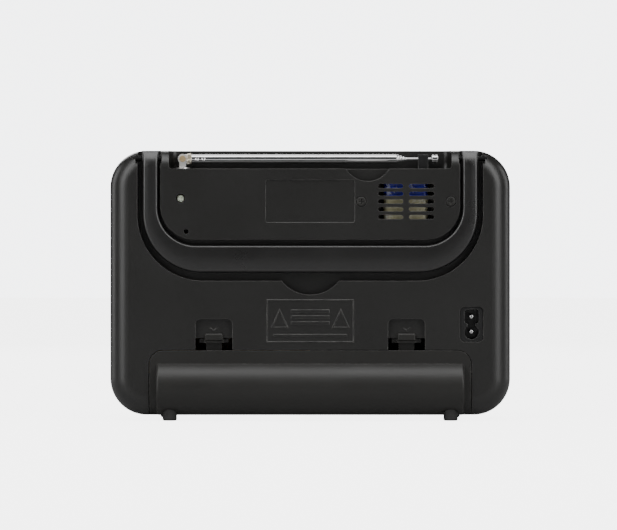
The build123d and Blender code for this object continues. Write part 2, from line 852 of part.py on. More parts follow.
# ================================================================ battery box
def battery_box():
    """Tray open at the back and below, with ribs between the cells and an ear at each end."""
    inner_half = spring_row_length / 2
    outer_half = inner_half + box_wall
    z_high = bay_top_z + box_wall
    box = block(-outer_half, outer_half, bay_front_y - box_wall, box_rear_y, box_low_z, z_high)
    box = box - block(-inner_half, inner_half, bay_front_y, box_rear_y + 1, box_low_z - 1, bay_top_z)
    for side in (-1, 1):
        low, high = mirrored_span(side, outer_half - 0.5, box_screw_x + 4.0)
        ear = block(
            low, high, box_rear_y - box_ear_thickness, box_rear_y, box_screw_z - 5, box_screw_z + 5
        )
        hole = rod_y(
            side * box_screw_x, box_screw_z, screw_shank_radius + slip, box_rear_y - 5, box_rear_y + 5
        )
        box = box + (ear - hole)
    rib_y = cell_y - cell_radius - cell_gap / 2
    for x in (-cell_length / 2, cell_length / 2):
        box = box + block(
            x - 0.8, x + 0.8, bay_front_y - 0.5, bay_front_y + 1.2, box_low_z, bay_top_z + 0.5
        )
        box = box + block(x - 0.8, x + 0.8, rib_y - 3, rib_y + 3, bay_top_z - 1.5, bay_top_z + 0.5)
    return box


def cell_rows():
    return [cell_y, cell_y - 2 * cell_radius - cell_gap]


def contact_spring(x_wall, y, side):
    """A conical coil spring standing on an end wall of the bay."""
    height, coil = 7.5, 5.2
    path = Helix(pitch=height / 4, height=height, radius=coil, cone_angle=-12)
    section = Plane(origin=path @ 0, z_dir=path % 0) * Circle(0.4)
    spring = sweep(section, path=path, is_frenet=True)
    turned_over = Rot(0, 90 if side < 0 else -90, 0) * spring
    return Pos(x_wall - side * 0.9, y, cell_z) * turned_over


def battery_contacts():
    half = spring_row_length / 2
    parts = []
    for side in (-1, 1):
        x = side * half
        for row, y in enumerate(cell_rows()):
            low, high = sorted((x, x - side * 0.4))
            plate = prism(rounded(18.0, 18.0, 3.0, 0, 0), -0.2, 0.2)
            plate = Rot(0, 0, 90) * plate
            plate = Pos(x - side * 0.25, y - 1.0, cell_z) * plate
            sprung = (row == 0) == (side > 0)
            if sprung:
                parts.append(plate)
                parts.append(contact_spring(x, y - 1.0, side))
            else:
                button = rod_x(y - 1.0, cell_z, 4.0, *sorted((x - side * 0.4, x - side * 1.6)))
                parts.append(plate + button)
    return Compound(children=[s for p in parts for s in p.solids()])


# ================================================================ aerial
def channel_clip():
    """U-shaped clip that holds the thin rod, open at the top."""
    x_high = aerial_tip_x + aerial_tip_length + clip_from_tip + clip_length
    x_low = x_high - clip_length
    radius = aerial_radii[-1]
    top = aerial_z + 2.4
    body = block(
        x_low,
        x_high,
        aerial_y - radius - gap - clip_wall,
        aerial_y + radius + gap + clip_wall,
        channel_floor_z,
        top,
    )
    slot = block(
        x_low - 1,
        x_high + 1,
        aerial_y - radius - gap,
        aerial_y + radius + gap,
        aerial_z - radius - gap,
        top + 1,
    )
    return body - slot


def aerial_base():
    """Plated foot with two cheeks that carry the aerial's rivet."""
    x = aerial_pivot_x
    foot = rod_z(x, aerial_y, 4.0, channel_floor_z, channel_floor_z + 1.0)
    cheeks = []
    for side in (-1, 1):
        y_inner = aerial_y + side * (fork_gap / 2)
        y_outer = aerial_y + side * (fork_gap / 2 + fork_cheek)
        low, high = sorted((y_inner, y_outer))
        disc = rod_y(x, aerial_z, fork_radius - 0.4, low, high)
        stem = block(x - 1.9, x + 1.9, low, high, channel_floor_z + 0.8, aerial_z)
        cheeks.append(disc + stem)
    base = foot + cheeks[0] + cheeks[1]
    return base - rod_y(x, aerial_z, rivet_radius + slip / 2, aerial_y - 10, aerial_y + 10)


def aerial_rivet():
    half = fork_gap / 2 + fork_cheek
    x, y, z = aerial_pivot_x, aerial_y, aerial_z
    shank = rod_y(x, z, rivet_radius, y - half - 0.1, y + half + 0.1)
    heads = [
        rod_y(x, z, 1.8, y + half + 0.05, y + half + 0.8),
        rod_y(x, z, 1.8, y - half - 0.8, y - half - 0.05),
    ]
    return shank + heads[0] + heads[1]


def section_start(index):
    """X of the open end of a closed section; the first one is the widest."""
    nested_end = aerial_tip_x + aerial_tip_length + aerial_rod_length
    return nested_end + (len(aerial_radii) - 1 - index) * aerial_stagger


def tube_end_x():
    return aerial_pivot_x - knuckle_length


def aerial_knuckle():
    """Flattened eye on the rivet, with the ring that the widest section is pressed on."""
    x, y, z = aerial_pivot_x, aerial_y, aerial_z
    half = fork_gap / 2 - 0.1
    eye = rod_y(x, z, 2.6, y - half, y + half)
    tongue = block(x - 4.5, x, y - half, y + half, z - 1.7, z + 1.7)
    ring = rod_x(y, z, aerial_radii[0] + 0.2, x - knuckle_length, x - 3.9)
    ring = chamfer(ring.edges().filter_by(GeomType.CIRCLE), 0.3)
    spigot = rod_x(y, z, aerial_radii[1], x - knuckle_length - 3, x - knuckle_length)
    body = eye + tongue + ring + spigot
    body = body - block(x - 3.4, x + 5, y - 5, y - fork_gap / 2, z - 5, z + 5)
    return body - rod_y(x, z, rivet_radius + pin_running_gap, y - 10, y + 10)


def aerial_section(index):
    """One tube of the aerial, closed up; the last is a solid rod with the tip."""
    radius = aerial_radii[index]
    x_open = section_start(index)
    x_root = tube_end_x() - (0 if index == 0 else 3.2 + 2.0 * (index - 1))
    if index == len(aerial_radii) - 1:
        rod = rod_x(aerial_y, aerial_z, radius, aerial_tip_x + 1, x_root)
        tip = rod_x(aerial_y, aerial_z, aerial_tip_radius, aerial_tip_x, aerial_tip_x + aerial_tip_length)
        tip = fillet(tip.edges().filter_by(GeomType.CIRCLE), 0.4)
        stop = rod_x(aerial_y, aerial_z, aerial_radii[index - 1] - 0.45, x_root - 6, x_root)
        return rod + tip + stop
    bore = aerial_radii[index + 1] + aerial_bore_gap
    tube = rod_x(aerial_y, aerial_z, radius, x_open, x_root)
    if index == 0:
        dimple_y = aerial_y + radius - 0.35
        dimples = [rod_y(x_root - 6 - 4 * i, aerial_z, 0.8, dimple_y, aerial_y + 9) for i in (0, 1)]
        tube = tube - dimples[0] - dimples[1]
    tube = chamfer(tube.edges().filter_by(GeomType.CIRCLE).sort_by(Axis.X)[0], 0.15)
    return tube - rod_x(aerial_y, aerial_z, bore, x_open - 1, x_root + 1)


def terminal_screw():
    x, z = terminal_x, top_z - terminal_drop
    seat = rear_y - 3.4
    shank = rod_y(x, z, 1.4, seat - 8, seat)
    head = rod_y(x, z, 2.2, seat, seat + 2.0)
    head = fillet(head.faces().sort_by(Axis.Y)[-1].edges(), 0.6)
    cross = Rectangle(2.8, 0.6) + Rectangle(0.6, 2.8)
    return (head + shank) - prism(Pos(x, z) * cross, seat + 1.2, seat + 3)


# ================================================================ mains inlet
def lobes(grow=0.0):
    """Figure-of-eight socket: square-shouldered upper lobe, round lower lobe, pinched waist."""
    width, length = inlet_lobe_width + 2 * grow, inlet_lobe_length + 2 * grow
    radius = width / 2
    low_z = -length / 2 + radius
    lower = Pos(0, low_z) * Circle(radius)
    upper = Pos(0, length / 2 - radius) * RectangleRounded(width, width, 1.6)
    waist = Rectangle(inlet_waist + 2 * grow, 2 * abs(low_z))
    necks = Pos(0, (length / 2 - radius) / 2) * Rectangle(inlet_waist + 2 * grow, radius)
    return Pos(inlet_x, inlet_centre_z) * (lower + upper + waist + necks)


def pin_zs():
    return (inlet_centre_z - inlet_pin_spacing / 2, inlet_centre_z + inlet_pin_spacing / 2)


def mains_inlet():
    y_low = inlet_face_y - inlet_body_depth
    shape = rounded(
        inlet_width - 2 * slip, inlet_height - 2 * slip, inlet_corner - slip, inlet_x, inlet_centre_z
    )
    body = prism(shape, y_low, inlet_face_y)
    flange = prism(
        rounded(inlet_width + 4, inlet_height + 4, inlet_corner, inlet_x, inlet_centre_z),
        inner_rear_y - slip - 1.8,
        inner_rear_y - slip,
    )
    body = body + flange
    body = body - prism(lobes(), inlet_face_y - inlet_socket_depth, inlet_face_y + 1)
    for z in pin_zs():
        body = body - rod_y(inlet_x, z, inlet_pin_radius, y_low - 1, inlet_face_y)
    return body


def mains_pins():
    y_low = inlet_face_y - inlet_body_depth
    y_high = inlet_face_y - inlet_socket_depth + inlet_pin_length
    pins = []
    for z in pin_zs():
        pin = rod_y(inlet_x, z, inlet_pin_radius, y_low - 4, y_high)
        pins.append(fillet(pin.faces().sort_by(Axis.Y)[-1].edges(), 0.7))
    return Compound(children=pins)


# ================================================================ transformer
core_width = 40.0
core_height = 31.0
core_stack = 15.0
core_limb = 7.0
winding_proud = 6.0
transformer_hole_spacing = 51.3
ear_overhang = 2.4
bobbin_side = 6.2
bobbin_flange = 1.0
winding_split = 2.3


def transformer_z():
    return top_z - vent_centre_drop


def transformer_screw_xs():
    half = transformer_hole_spacing / 2
    return (vent_centre_x - half, vent_centre_x + half)


def transformer_ear_y():
    return inner_rear_y - winding_proud - 1.5


def core_ys():
    high = transformer_ear_y() - 1.2
    return high - core_stack, high


def transformer_core():
    low, high = core_ys()
    x, z = vent_centre_x, transformer_z()
    outline = Pos(x, z) * Rectangle(core_width, core_height)
    for side in (-1, 1):
        window = Pos(x + side * (core_width / 2 - core_limb / 2 - 5.6), z)
        outline = outline - window * Rectangle(7.0, core_height - 2 * core_limb + 6)
    return prism(outline, low, high)


def bobbin_levels():
    """Heights of the bobbin's three flanges, from the transformer's middle."""
    reach = (core_height - 2 * core_limb + 6) / 2 - 0.6
    return -reach, winding_split, reach


def transformer_bobbin():
    """Moulded bobbin round the core's middle limb, with three flanges."""
    low, high = core_ys()
    x, z = vent_centre_x, transformer_z()
    limb = core_width - 2 * (core_limb / 2 + 5.6 + 3.5)
    levels = bobbin_levels()
    flanges = []
    for level in levels:
        plate = block(
            x - limb / 2 - bobbin_side,
            x + limb / 2 + bobbin_side,
            low - winding_proud,
            high + winding_proud,
            z + level - bobbin_flange / 2,
            z + level + bobbin_flange / 2,
        )
        flanges.append(plate)
    tube = block(
        x - limb / 2 - 1.0, x + limb / 2 + 1.0, low - 1.0, high + 1.0, z + levels[0], z + levels[2]
    )
    body = flanges[0] + flanges[1] + flanges[2] + tube
    return body - block(x - limb / 2 - 0.1, x + limb / 2 + 0.1, low - 0.1, high + 0.1, z - 60, z + 60)


def winding(level_low, level_high):
    low, high = core_ys()
    x, z = vent_centre_x, transformer_z()
    limb = core_width - 2 * (core_limb / 2 + 5.6 + 3.5)
    proud = winding_proud - 0.8
    outer_half = limb / 2 + bobbin_side - 0.6
    outer = block(x - outer_half, x + outer_half, low - proud, high + proud, level_low, level_high)
    outer = fillet(outer.edges().filter_by(Axis.Z), 3.0)
    return outer - block(
        x - limb / 2 - 1.1, x + limb / 2 + 1.1, low - 1.1, high + 1.1, level_low - 1, level_high + 1
    )


def winding_levels():
    low, split, high = [transformer_z() + level for level in bobbin_levels()]
    clear = bobbin_flange / 2 + slip
    return (low + clear, split - clear), (split + clear, high - clear)


def transformer_bracket():
    """Steel strap over the core with two drilled ears."""
    low, high = core_ys()
    x, z = vent_centre_x, transformer_z()
    strap_half = 4.5
    ear_y = transformer_ear_y()
    parts = []
    for side in (-1, 1):
        inner_x = x + side * (core_width / 2 + slip)
        outer_x = inner_x + side * 1.1
        a, b = sorted((inner_x, outer_x))
        leg = block(a, b, low - 1.3, ear_y, z - strap_half, z + strap_half)
        a, b = sorted((inner_x, x + side * (transformer_hole_spacing / 2 + ear_overhang)))
        ear = block(a, b, ear_y - 1.1, ear_y, z - strap_half, z + strap_half)
        parts += [leg, ear]
    # the strap crosses the front of the core above and below the bobbin
    for side in (-1, 1):
        band_z = z + side * (core_height / 2 - 1.8)
        parts.append(
            block(
                x - core_width / 2 - slip - 1.1,
                x + core_width / 2 + slip + 1.1,
                low - 1.3,
                low - 0.2,
                band_z - 1.8,
                band_z + 1.8,
            )
        )
        for end in (-1, 1):
            inner_x = x + end * (core_width / 2 + slip)
            a, b = sorted((inner_x, inner_x + end * 1.1))
            parts.append(block(a, b, low - 1.3, low + 6, min(z, band_z + 1.8), max(z, band_z + 1.8)))
    body = parts[0]
    for part in parts[1:]:
        body = body + part
    for screw_x in transformer_screw_xs():
        body = body - rod_y(screw_x, z, screw_shank_radius + slip, ear_y - 5, ear_y + 5)
    return body


# ================================================================ speaker
def speaker_frame():
    y = speaker_flange_y()
    flange = rounded(speaker_frame_size, speaker_frame_size, 14.0, speaker_x, speaker_centre_z)
    plate = prism(flange, y, y + speaker_flange_thickness)
    plate = plate - rod_y(speaker_x, speaker_centre_z, speaker_cone_radius + 0.5, y - 1, y + 3)
    rim, neck = speaker_cone_radius + 1.6, 25.0
    basket = turned(
        [
            (rim - 1.1, 0.4),
            (rim, 0.4),
            (rim, 4.0),
            (neck + 1, 16.6),
            (13.0, 16.6),
            (13.0, 15.4),
            (neck, 15.4),
            (rim - 1.1, 3.4),
        ],
        speaker_x,
        y,
        speaker_centre_z,
    )
    body = plate + basket
    for turn in range(6):
        cut = Rot(0, 60 * turn + 30, 0) * block(20.0, 34.5, 4.0, 13.5, -7.0, 7.0)
        body = body - Pos(speaker_x, y, speaker_centre_z) * cut
    for x, z in speaker_screw_places():
        body = body - rod_y(x, z, screw_shank_radius + slip, y - 1, y + 3)
    return body


def speaker_magnet():
    y = speaker_flange_y() + 16.6 + 0.05
    x, z = speaker_x, speaker_centre_z
    coil = voice_coil_radius
    top_plate = rod_y(x, z, speaker_magnet_radius - 2, y, y + 2.4) - rod_y(x, z, coil + 1.3, y - 1, y + 4)
    ring = rod_y(x, z, speaker_magnet_radius, y + 2.4, y + 10.4) - rod_y(x, z, coil + 4, y, y + 12)
    yoke = rod_y(x, z, speaker_magnet_radius - 2, y + 10.4, y + 13.4)
    yoke = yoke + rod_y(x, z, coil - 0.8, y - 0.2, y + 11)
    return Compound(children=[top_plate, ring, yoke])


def speaker_surround():
    y = speaker_flange_y()
    radius = speaker_cone_radius + 0.45
    return turned(
        [
            (radius - 4, 0.2),
            (radius - 2, -0.9),
            (radius, 0.2),
            (radius, 0.7),
            (radius - 2, -0.3),
            (radius - 4, 0.7),
        ],
        speaker_x,
        y + 1.6,
        speaker_centre_z,
    )


def speaker_cone():
    """Paper cone, dust cap and voice coil, which move together."""
    y = speaker_flange_y()
    outer, coil = speaker_cone_radius - 4.0, voice_coil_radius
    cone = turned(
        [(outer, 1.7), (outer, 2.4), (coil + 0.6, 13.0), (coil, 13.0), (coil, 12.0), (outer - 0.8, 1.7)],
        speaker_x,
        y,
        speaker_centre_z,
    )
    former = rod_y(speaker_x, speaker_centre_z, coil + 0.6, y + 12.4, y + 19.5)
    former = former - rod_y(speaker_x, speaker_centre_z, coil, y + 12, y + 25)
    cap = turned(
        [
            (coil + 0.3, 12.2),
            (7.5, 10.0),
            (4.0, 8.8),
            (0.0, 8.4),
            (0.0, 9.0),
            (4.0, 9.4),
            (7.2, 10.7),
            (coil + 0.1, 13.0),
        ],
        speaker_x,
        y,
        speaker_centre_z,
    )
    return cone + former + cap


# ================================================================ dial, tuning and board
def dial_lens():
    shape = rounded(
        dial_width - 2 * slip, dial_height - 2 * slip, dial_corner - slip, dial_x, dial_z
    )
    return prism(shape, front_y, front_y + lens_thickness - 0.05)


def scale_ys():
    low = inner_front_y + 2.9
    return low, low + scale_thickness


def dial_scale():
    low, high = scale_ys()
    width, height = dial_width - 4, dial_height - 3
    plate = prism(rounded(width, height, 2.0, dial_x, dial_z - 0.8), low, high)
    # posts that stand the scale off the board
    for x in (dial_x - width / 2 + 14, dial_x + width / 2 - 14):
        plate = plate + rod_y(x, dial_z - height / 2 + 4, 1.8, high - 0.2, board_front_y)
    return plate


def pointer_x():
    span_low = dial_x - pointer_travel / 2
    return span_low + pointer_rest_share * pointer_travel


def dial_pointer():
    """A blade in front of the scale that hooks over its top edge on to the cord."""
    low, high = scale_ys()
    x = pointer_x()
    plate_top = dial_z - 0.8 + (dial_height - 3) / 2
    cord_top = guide_z + guide_radius + cord_size
    half = pointer_width / 2
    blade = block(x - half, x + half, low - 1.4, low - 0.5, dial_z - dial_height / 2 + 3, plate_top + 1.4)
    over = block(x - 2.0, x + 2.0, low - 1.4, cord_front_y + 1.6, plate_top + gap, plate_top + 1.4)
    hook_low = min(cord_top + 0.15, plate_top)
    hook = block(x - 2.0, x + 2.0, high + gap, cord_front_y + 1.6, hook_low, plate_top + 1.4)
    return blade + over + hook


def wheels():
    """Centres and radii that the cord runs round, going clockwise as the listener sees them."""
    left, right = guide_xs
    return [
        (left, guide_z, guide_radius),
        (right, guide_z, guide_radius),
        (spindle_x, spindle_z, spindle_radius),
        (drum_x, drum_z, drum_radius),
    ]


def belt(grow):
    """Outline of a band pulled round all the wheels, standing off them by grow."""
    points = []
    circles = wheels()
    for i, (x0, z0, r0) in enumerate(circles):
        x1, z1, r1 = circles[(i + 1) % len(circles)]
        distance = hypot(x1 - x0, z1 - z0)
        heading = atan2(z1 - z0, x1 - x0)
        tilt = heading + acos((r0 - r1) / distance)
        points.append(((x0, z0, r0 + grow, tilt), (x1, z1, r1 + grow, tilt)))
    edges = []
    for i, (leave, arrive) in enumerate(points):
        start = (leave[0] + leave[2] * cos(leave[3]), leave[1] + leave[2] * sin(leave[3]))
        end = (arrive[0] + arrive[2] * cos(arrive[3]), arrive[1] + arrive[2] * sin(arrive[3]))
        edges.append(Line(start, end))
        following = points[(i + 1) % len(points)][0]
        sweep_angle = (following[3] - arrive[3]) % (-2 * pi)
        edges.append(
            CenterArc((arrive[0], arrive[1]), arrive[2], degrees(arrive[3]), degrees(sweep_angle))
        )
    outline = edges[0]
    for edge in edges[1:]:
        outline = outline + edge
    return make_face(outline)


def dial_cord():
    return prism(belt(cord_size) - belt(0.04), cord_front_y, cord_front_y + cord_size)


def cord_guides():
    parts = []
    for x in guide_xs:
        post = rod_y(x, guide_z, guide_radius, cord_front_y - 0.8, board_front_y)
        cap = rod_y(x, guide_z, guide_radius + cord_size, cord_front_y - 1.6, cord_front_y - 0.7)
        parts.append(post + cap)
    return Compound(children=parts)


def drum_ys():
    middle = cord_front_y + cord_size / 2
    return middle - drum_thickness / 2, middle + drum_thickness / 2


def tuning_drum():
    low, high = drum_ys()
    wheel = rod_y(drum_x, drum_z, drum_radius + 1.6, low, high)
    rim_gap = prism(
        Pos(drum_x, drum_z) * (Circle(drum_radius + 5) - Circle(drum_radius)),
        cord_front_y - 0.3,
        cord_front_y + cord_size + 0.3,
    )
    wheel = wheel - rim_gap
    for turn in range(5):
        angle = radians(72 * turn + 18)
        hole = Pos(drum_x + 17 * cos(angle), drum_z + 17 * sin(angle)) * Circle(6.0)
        wheel = wheel - prism(hole, low - 1, high + 1)
    hub = rod_y(drum_x, drum_z, 5.0, low, high + 1.2)
    shaft = rod_y(drum_x, drum_z, 2.5, low, board_rear_y + 4)
    return wheel + hub + shaft


def tuning_spindle():
    shaft = rod_y(spindle_x, spindle_z, spindle_radius, front_y - 3.0, board_rear_y + 2)
    front_collar_y = cord_front_y - 0.6
    rear_collar_y = cord_front_y + cord_size + 0.6
    collars = [
        rod_y(spindle_x, spindle_z, spindle_radius + 1.5, front_collar_y - 1.0, front_collar_y),
        rod_y(spindle_x, spindle_z, spindle_radius + 1.5, rear_collar_y, rear_collar_y + 1.0),
    ]
    return shaft + collars[0] + collars[1]


def knob(x, z, radius, proud, flutes, shaft_radius=0.0, shaft_reach=0.0):
    """A turned knob with a fluted skirt, a pointer groove and, where asked, its own shaft."""
    low, high = front_y - proud, front_y - gap
    body = rod_y(x, z, radius, low, high)
    body = fillet(body.faces().sort_by(Axis.Y)[0].edges(), 1.4)
    for turn in range(flutes):
        angle = 2 * pi * turn / flutes
        flute_x = x + (radius + 0.5) * cos(angle)
        flute_z = z + (radius + 0.5) * sin(angle)
        flute = rod_y(flute_x, flute_z, 0.9, low - 1, high - 1.5)
        body = body - flute
    body = body - block(x - 0.5, x + 0.5, low - 1, low + 0.7, z + radius * 0.45, z + radius - 1.6)
    if shaft_radius:
        body = body + rod_y(x, z, shaft_radius, high - 1, high + shaft_reach)
    return body


def tuning_knob():
    body = knob(spindle_x, spindle_z, tuning_knob_radius, knob_proud, 40)
    dish = rod_y(spindle_x + 11.5, spindle_z + 5, 4.2, front_y - knob_proud - 1, front_y - knob_proud + 1.2)
    body = body - dish
    return body - rod_y(spindle_x, spindle_z, spindle_radius + slip, front_y - 3.0, front_y)


def small_knob(x):
    shaft_reach = wall + gap + pot_depth - 2
    return knob(x, controls_z, small_knob_radius, small_knob_proud, 24, 3.0, shaft_reach)


def potentiometers():
    parts = []
    for x in (volume_x, tone_x):
        can = rod_y(x, controls_z, pot_radius, inner_front_y + slip, inner_front_y + pot_depth)
        bush = rod_y(x, controls_z, 3.8, front_y + 0.5, inner_front_y + 1)
        tag_low_z = controls_z - pot_radius - 5
        tags = block(x - 5, x + 5, inner_front_y + 3, inner_front_y + 4, tag_low_z, controls_z - 4)
        body = can + bush + tags
        parts.append(body - rod_y(x, controls_z, 3.1, front_y - 1, inner_front_y + pot_depth - 1.2))
    return Compound(children=parts)


def slide_switches():
    parts = []
    for z in (band_switch_z, power_switch_z):
        low = inner_front_y + slip
        can = block(
            switch_x - switch_width / 2,
            switch_x + switch_width / 2,
            low,
            low + switch_depth,
            z - switch_height / 2,
            z + switch_height / 2,
        )
        slot = block(
            switch_x - (slider_width + slider_travel) / 2 - gap,
            switch_x + (slider_width + slider_travel) / 2 + gap,
            low - 1,
            low + 4,
            z - slider_height / 2 - gap,
            z + slider_height / 2 + gap,
        )
        legs = [
            block(leg_x - 0.4, leg_x + 0.4, low + switch_depth - 0.5, board_rear_y + 1, z - 0.25, z + 0.25)
            for leg_x in (switch_x - 5, switch_x, switch_x + 5)
        ]
        body = can - slot
        for leg in legs:
            body = body + leg
        parts.append(body)
    return Compound(children=parts)


def slider(z):
    x = switch_x - slider_travel / 2
    low, high = front_y - slider_proud, inner_front_y + slip + 3.6
    half_width, half_height = slider_width / 2, slider_height / 2
    body = block(x - half_width, x + half_width, low, high, z - half_height, z + half_height)
    body = fillet(body.faces().sort_by(Axis.Y)[0].edges(), 0.6)
    for i in (-1, 0, 1):
        body = body - block(x + 1.5 * i - 0.25, x + 1.5 * i + 0.25, low - 1, low + 0.5, z - 5, z + 5)
    return body


def power_lamp():
    x, z = lamp_x, power_switch_z
    dome = rod_y(x, z, lamp_radius, front_y - 0.6, inner_front_y + 3)
    dome = fillet(dome.faces().sort_by(Axis.Y)[0].edges(), 1.0)
    return dome + rod_y(x, z, lamp_radius + 0.5, inner_front_y + slip, inner_front_y + 1.2)


def main_board():
    width, height = board_right_x - board_left_x, board_high_z - board_low_z
    centre_x, centre_z = (board_right_x + board_left_x) / 2, (board_high_z + board_low_z) / 2
    plate = prism(rounded(width, height, 3.0, centre_x, centre_z), board_front_y, board_rear_y)
    for x, z in case_screw_places():
        plate = plate - rod_y(x, z, 4.6, board_front_y - 1, board_rear_y + 1)
    for x, z in board_screw_places():
        plate = plate - rod_y(x, z, screw_shank_radius + slip, board_front_y - 1, board_rear_y + 1)
    bearing_radius = spindle_radius + pin_running_gap
    plate = plate - rod_y(spindle_x, spindle_z, bearing_radius, board_front_y - 1, board_rear_y + 1)
    plate = plate - rod_y(drum_x, drum_z, 3.4, board_front_y - 1, board_rear_y + 1)
    for z in (band_switch_z, power_switch_z):
        leg_slot = block(switch_x - 6, switch_x + 6, board_front_y - 1, board_rear_y + 1, z - 0.8, z + 0.8)
        plate = plate - leg_slot
    return plate


def tuning_capacitor():
    y = board_rear_y + 0.05
    can = block(drum_x - 10, drum_x + 10, y, y + 13, drum_z - 10, drum_z + 10)
    can = fillet(can.edges().filter_by(Axis.Y), 1.5)
    return can - rod_y(drum_x, drum_z, 2.5 + pin_running_gap, y - 1, y + 5)


def if_transformers():
    y = board_rear_y + 0.05
    cans = []
    for i in range(4):
        x = drum_x - 24 + 14 * i
        z = drum_z + 30
        can = block(x - 3.8, x + 3.8, y, y + 11, z - 3.8, z + 3.8)
        can = fillet(can.edges().filter_by(Axis.Y), 0.8)
        can = can - rod_y(x, z, 1.9, y + 9.4, y + 12)
        cans.append(can - block(x - 1.6, x + 1.6, y + 8.9, y + 12, z - 0.3, z + 0.3))
    return Compound(children=cans)


def board_capacitors():
    y = board_rear_y + 0.05
    places = [
        (14, -10, 5.0, 16),
        (14, 4, 4.0, 11),
        (27, -14, 3.2, 9),
        (14, 22, 5.0, 13),
        (70, -8, 3.2, 9),
        (70, 14, 4.0, 11),
    ]
    cans = []
    for dx, dz, radius, length in places:
        can = rod_y(board_left_x + dx, drum_z + dz, radius, y, y + length)
        cans.append(fillet(can.faces().sort_by(Axis.Y)[-1].edges(), 0.7))
    return Compound(children=cans)


def board_chips():
    y = board_rear_y + 0.05
    chips = []
    places = [(board_left_x + 36, drum_z - 22, 9.0, 22.0), (board_left_x + 66, drum_z - 24, 7.0, 19.0)]
    for x, z, w, h in places:
        chip = block(x - w / 2, x + w / 2, y + 0.6, y + 4.2, z - h / 2, z + h / 2)
        for i in range(7):
            leg_z = z + (i - 3) * 2.54
            chip = chip + block(x - w / 2 - 0.9, x + w / 2 + 0.9, y, y + 1.4, leg_z - 0.3, leg_z + 0.3)
        chips.append(chip)
    return Compound(children=chips)


# ================================================================ ferrite aerial and jack
ferrite_radius = 4.8
ferrite_length = 90.0


def ferrite_axis():
    """X of the rod's middle, and its Y and Z."""
    return 26.0, channel_front_y - wall - ferrite_radius - 3.5, channel_floor_z - 14.0


def ferrite_rod():
    x, y, z = ferrite_axis()
    return rod_x(y, z, ferrite_radius, x - ferrite_length / 2, x + ferrite_length / 2)


def ferrite_coils():
    x, y, z = ferrite_axis()
    coils = []
    for centre, length in ((-22.0, 18.0), (20.0, 12.0)):
        low, high = x + centre - length / 2, x + centre + length / 2
        tube = rod_x(y, z, ferrite_radius + 1.3, low, high)
        tube = tube - rod_x(y, z, ferrite_radius + slip, low - 1, high + 1)
        coils.append(tube)
    return Compound(children=coils)


def ferrite_clips():
    x, y, z = ferrite_axis()
    clips = []
    for end in (-1, 1):
        centre = x + end * (ferrite_length / 2 - 6)
        ring = rod_x(y, z, ferrite_radius + 1.8, centre - 2.5, centre + 2.5)
        stalk = block(centre - 2.5, centre + 2.5, y - 2, y + 2, z + ferrite_radius, channel_floor_z - wall)
        if channel_front_y - wall > y - 2:
            stalk_low_z = z + ferrite_radius - 1
            stalk_high_y = channel_front_y - wall + 3
            stalk = block(centre - 2.5, centre + 2.5, y, stalk_high_y, stalk_low_z, stalk_low_z + 3)
            stalk = stalk + block(
                centre - 2.5,
                centre + 2.5,
                channel_front_y - wall + 0.5,
                channel_front_y - wall + 3,
                z + ferrite_radius - 1,
                channel_floor_z - wall,
            )
        clip = ring + stalk
        clips.append(clip - rod_x(y, z, ferrite_radius + slip, centre - 9, centre + 9))
    return Compound(children=clips)


jack_nose_radius = 3.4


def jack_y():
    return front_y + 9.0


def headphone_jack():
    nose = rod_x(jack_y(), jack_z, jack_nose_radius, side_x - wall - 1, side_x - 0.4)
    body = block(
        side_x - jack_length, side_x - wall - slip, jack_y() - 4.0, jack_y() + 4.0, jack_z - 5.0, jack_z + 5.0
    )
    return (nose + body) - rod_x(jack_y(), jack_z, jack_bore_radius, side_x - jack_length + 1, side_x + 5)


# ================================================================ leads
lead_radius = 0.7


def lead(points):
    """A round lead along straight runs joined by arcs as large as the runs allow."""
    vectors = [Vector(*p) for p in points]
    radii = []
    for before, here, after in zip(vectors, vectors[1:], vectors[2:]):
        turn = radians((here - before).get_angle(after - here))
        shorter = min((here - before).length, (after - here).length)
        radii.append(0.45 * shorter / tan(turn / 2))
    path = FilletPolyline(*points, radius=radii)
    section = Plane(origin=path @ 0, z_dir=path % 0) * Circle(lead_radius)
    tube = sweep(section, path=path)
    expected = pi * lead_radius**2 * path.length
    print("lead", round(path.length, 1), "mm, smallest radius", round(min(radii), 1),
          "volume over expected", round(tube.volume / expected, 4))
    return tube


def wiring_leads():
    """Mains leads from the inlet's pins to the transformer, and speaker leads to the board."""
    core_front_y = core_ys()[0]
    pin_end_y = inlet_face_y - inlet_body_depth - 4
    bobbin_low_z = transformer_z() + bobbin_levels()[0] - bobbin_flange / 2
    parts = []
    for i, z in enumerate(pin_zs()):
        x = inlet_x
        side = 2.2 * i
        parts.append(
            lead(
                [
                    (x, pin_end_y - 0.05, z),
                    (x, pin_end_y - 5.5, z),
                    (x + 0.8, pin_end_y - 9.0, z + 5.0),
                    (x + 3.0 + side, pin_end_y - 10.0, z + 14.0),
                    (x + 6.0 + side, pin_end_y - 10.5, z + 25.0 - 3 * i),
                    (x + 14.0 + side, pin_end_y - 10.0, bobbin_low_z - 24.0 + 3 * i),
                    (vent_centre_x - 11.0 + 3 * i, core_front_y - 3.6, bobbin_low_z - 12.0),
                    (vent_centre_x - 7.0 + 3 * i, core_front_y - 2.8, bobbin_low_z - 0.3),
                ]
            )
        )
    flange_y = speaker_flange_y() + speaker_flange_thickness
    for i in range(2):
        x, z = speaker_x + speaker_frame_size / 2 - 2.5, speaker_centre_z + 4.0 * i
        parts.append(
            lead(
                [
                    (x, flange_y + 0.05, z),
                    (x, board_rear_y - 3.0, z),
                    (x + 4.5, board_rear_y + 4.0, z + 0.5),
                    (x + 10.5, board_rear_y + 7.5, z + 1.0),
                    (board_left_x + 2.5, board_rear_y + 6.0, z + 1.2),
                    (board_left_x + 4.5, board_rear_y + 0.3, z + 1.2),
                ]
            )
        )
    return Compound(children=[s for p in parts for s in p.solids()])


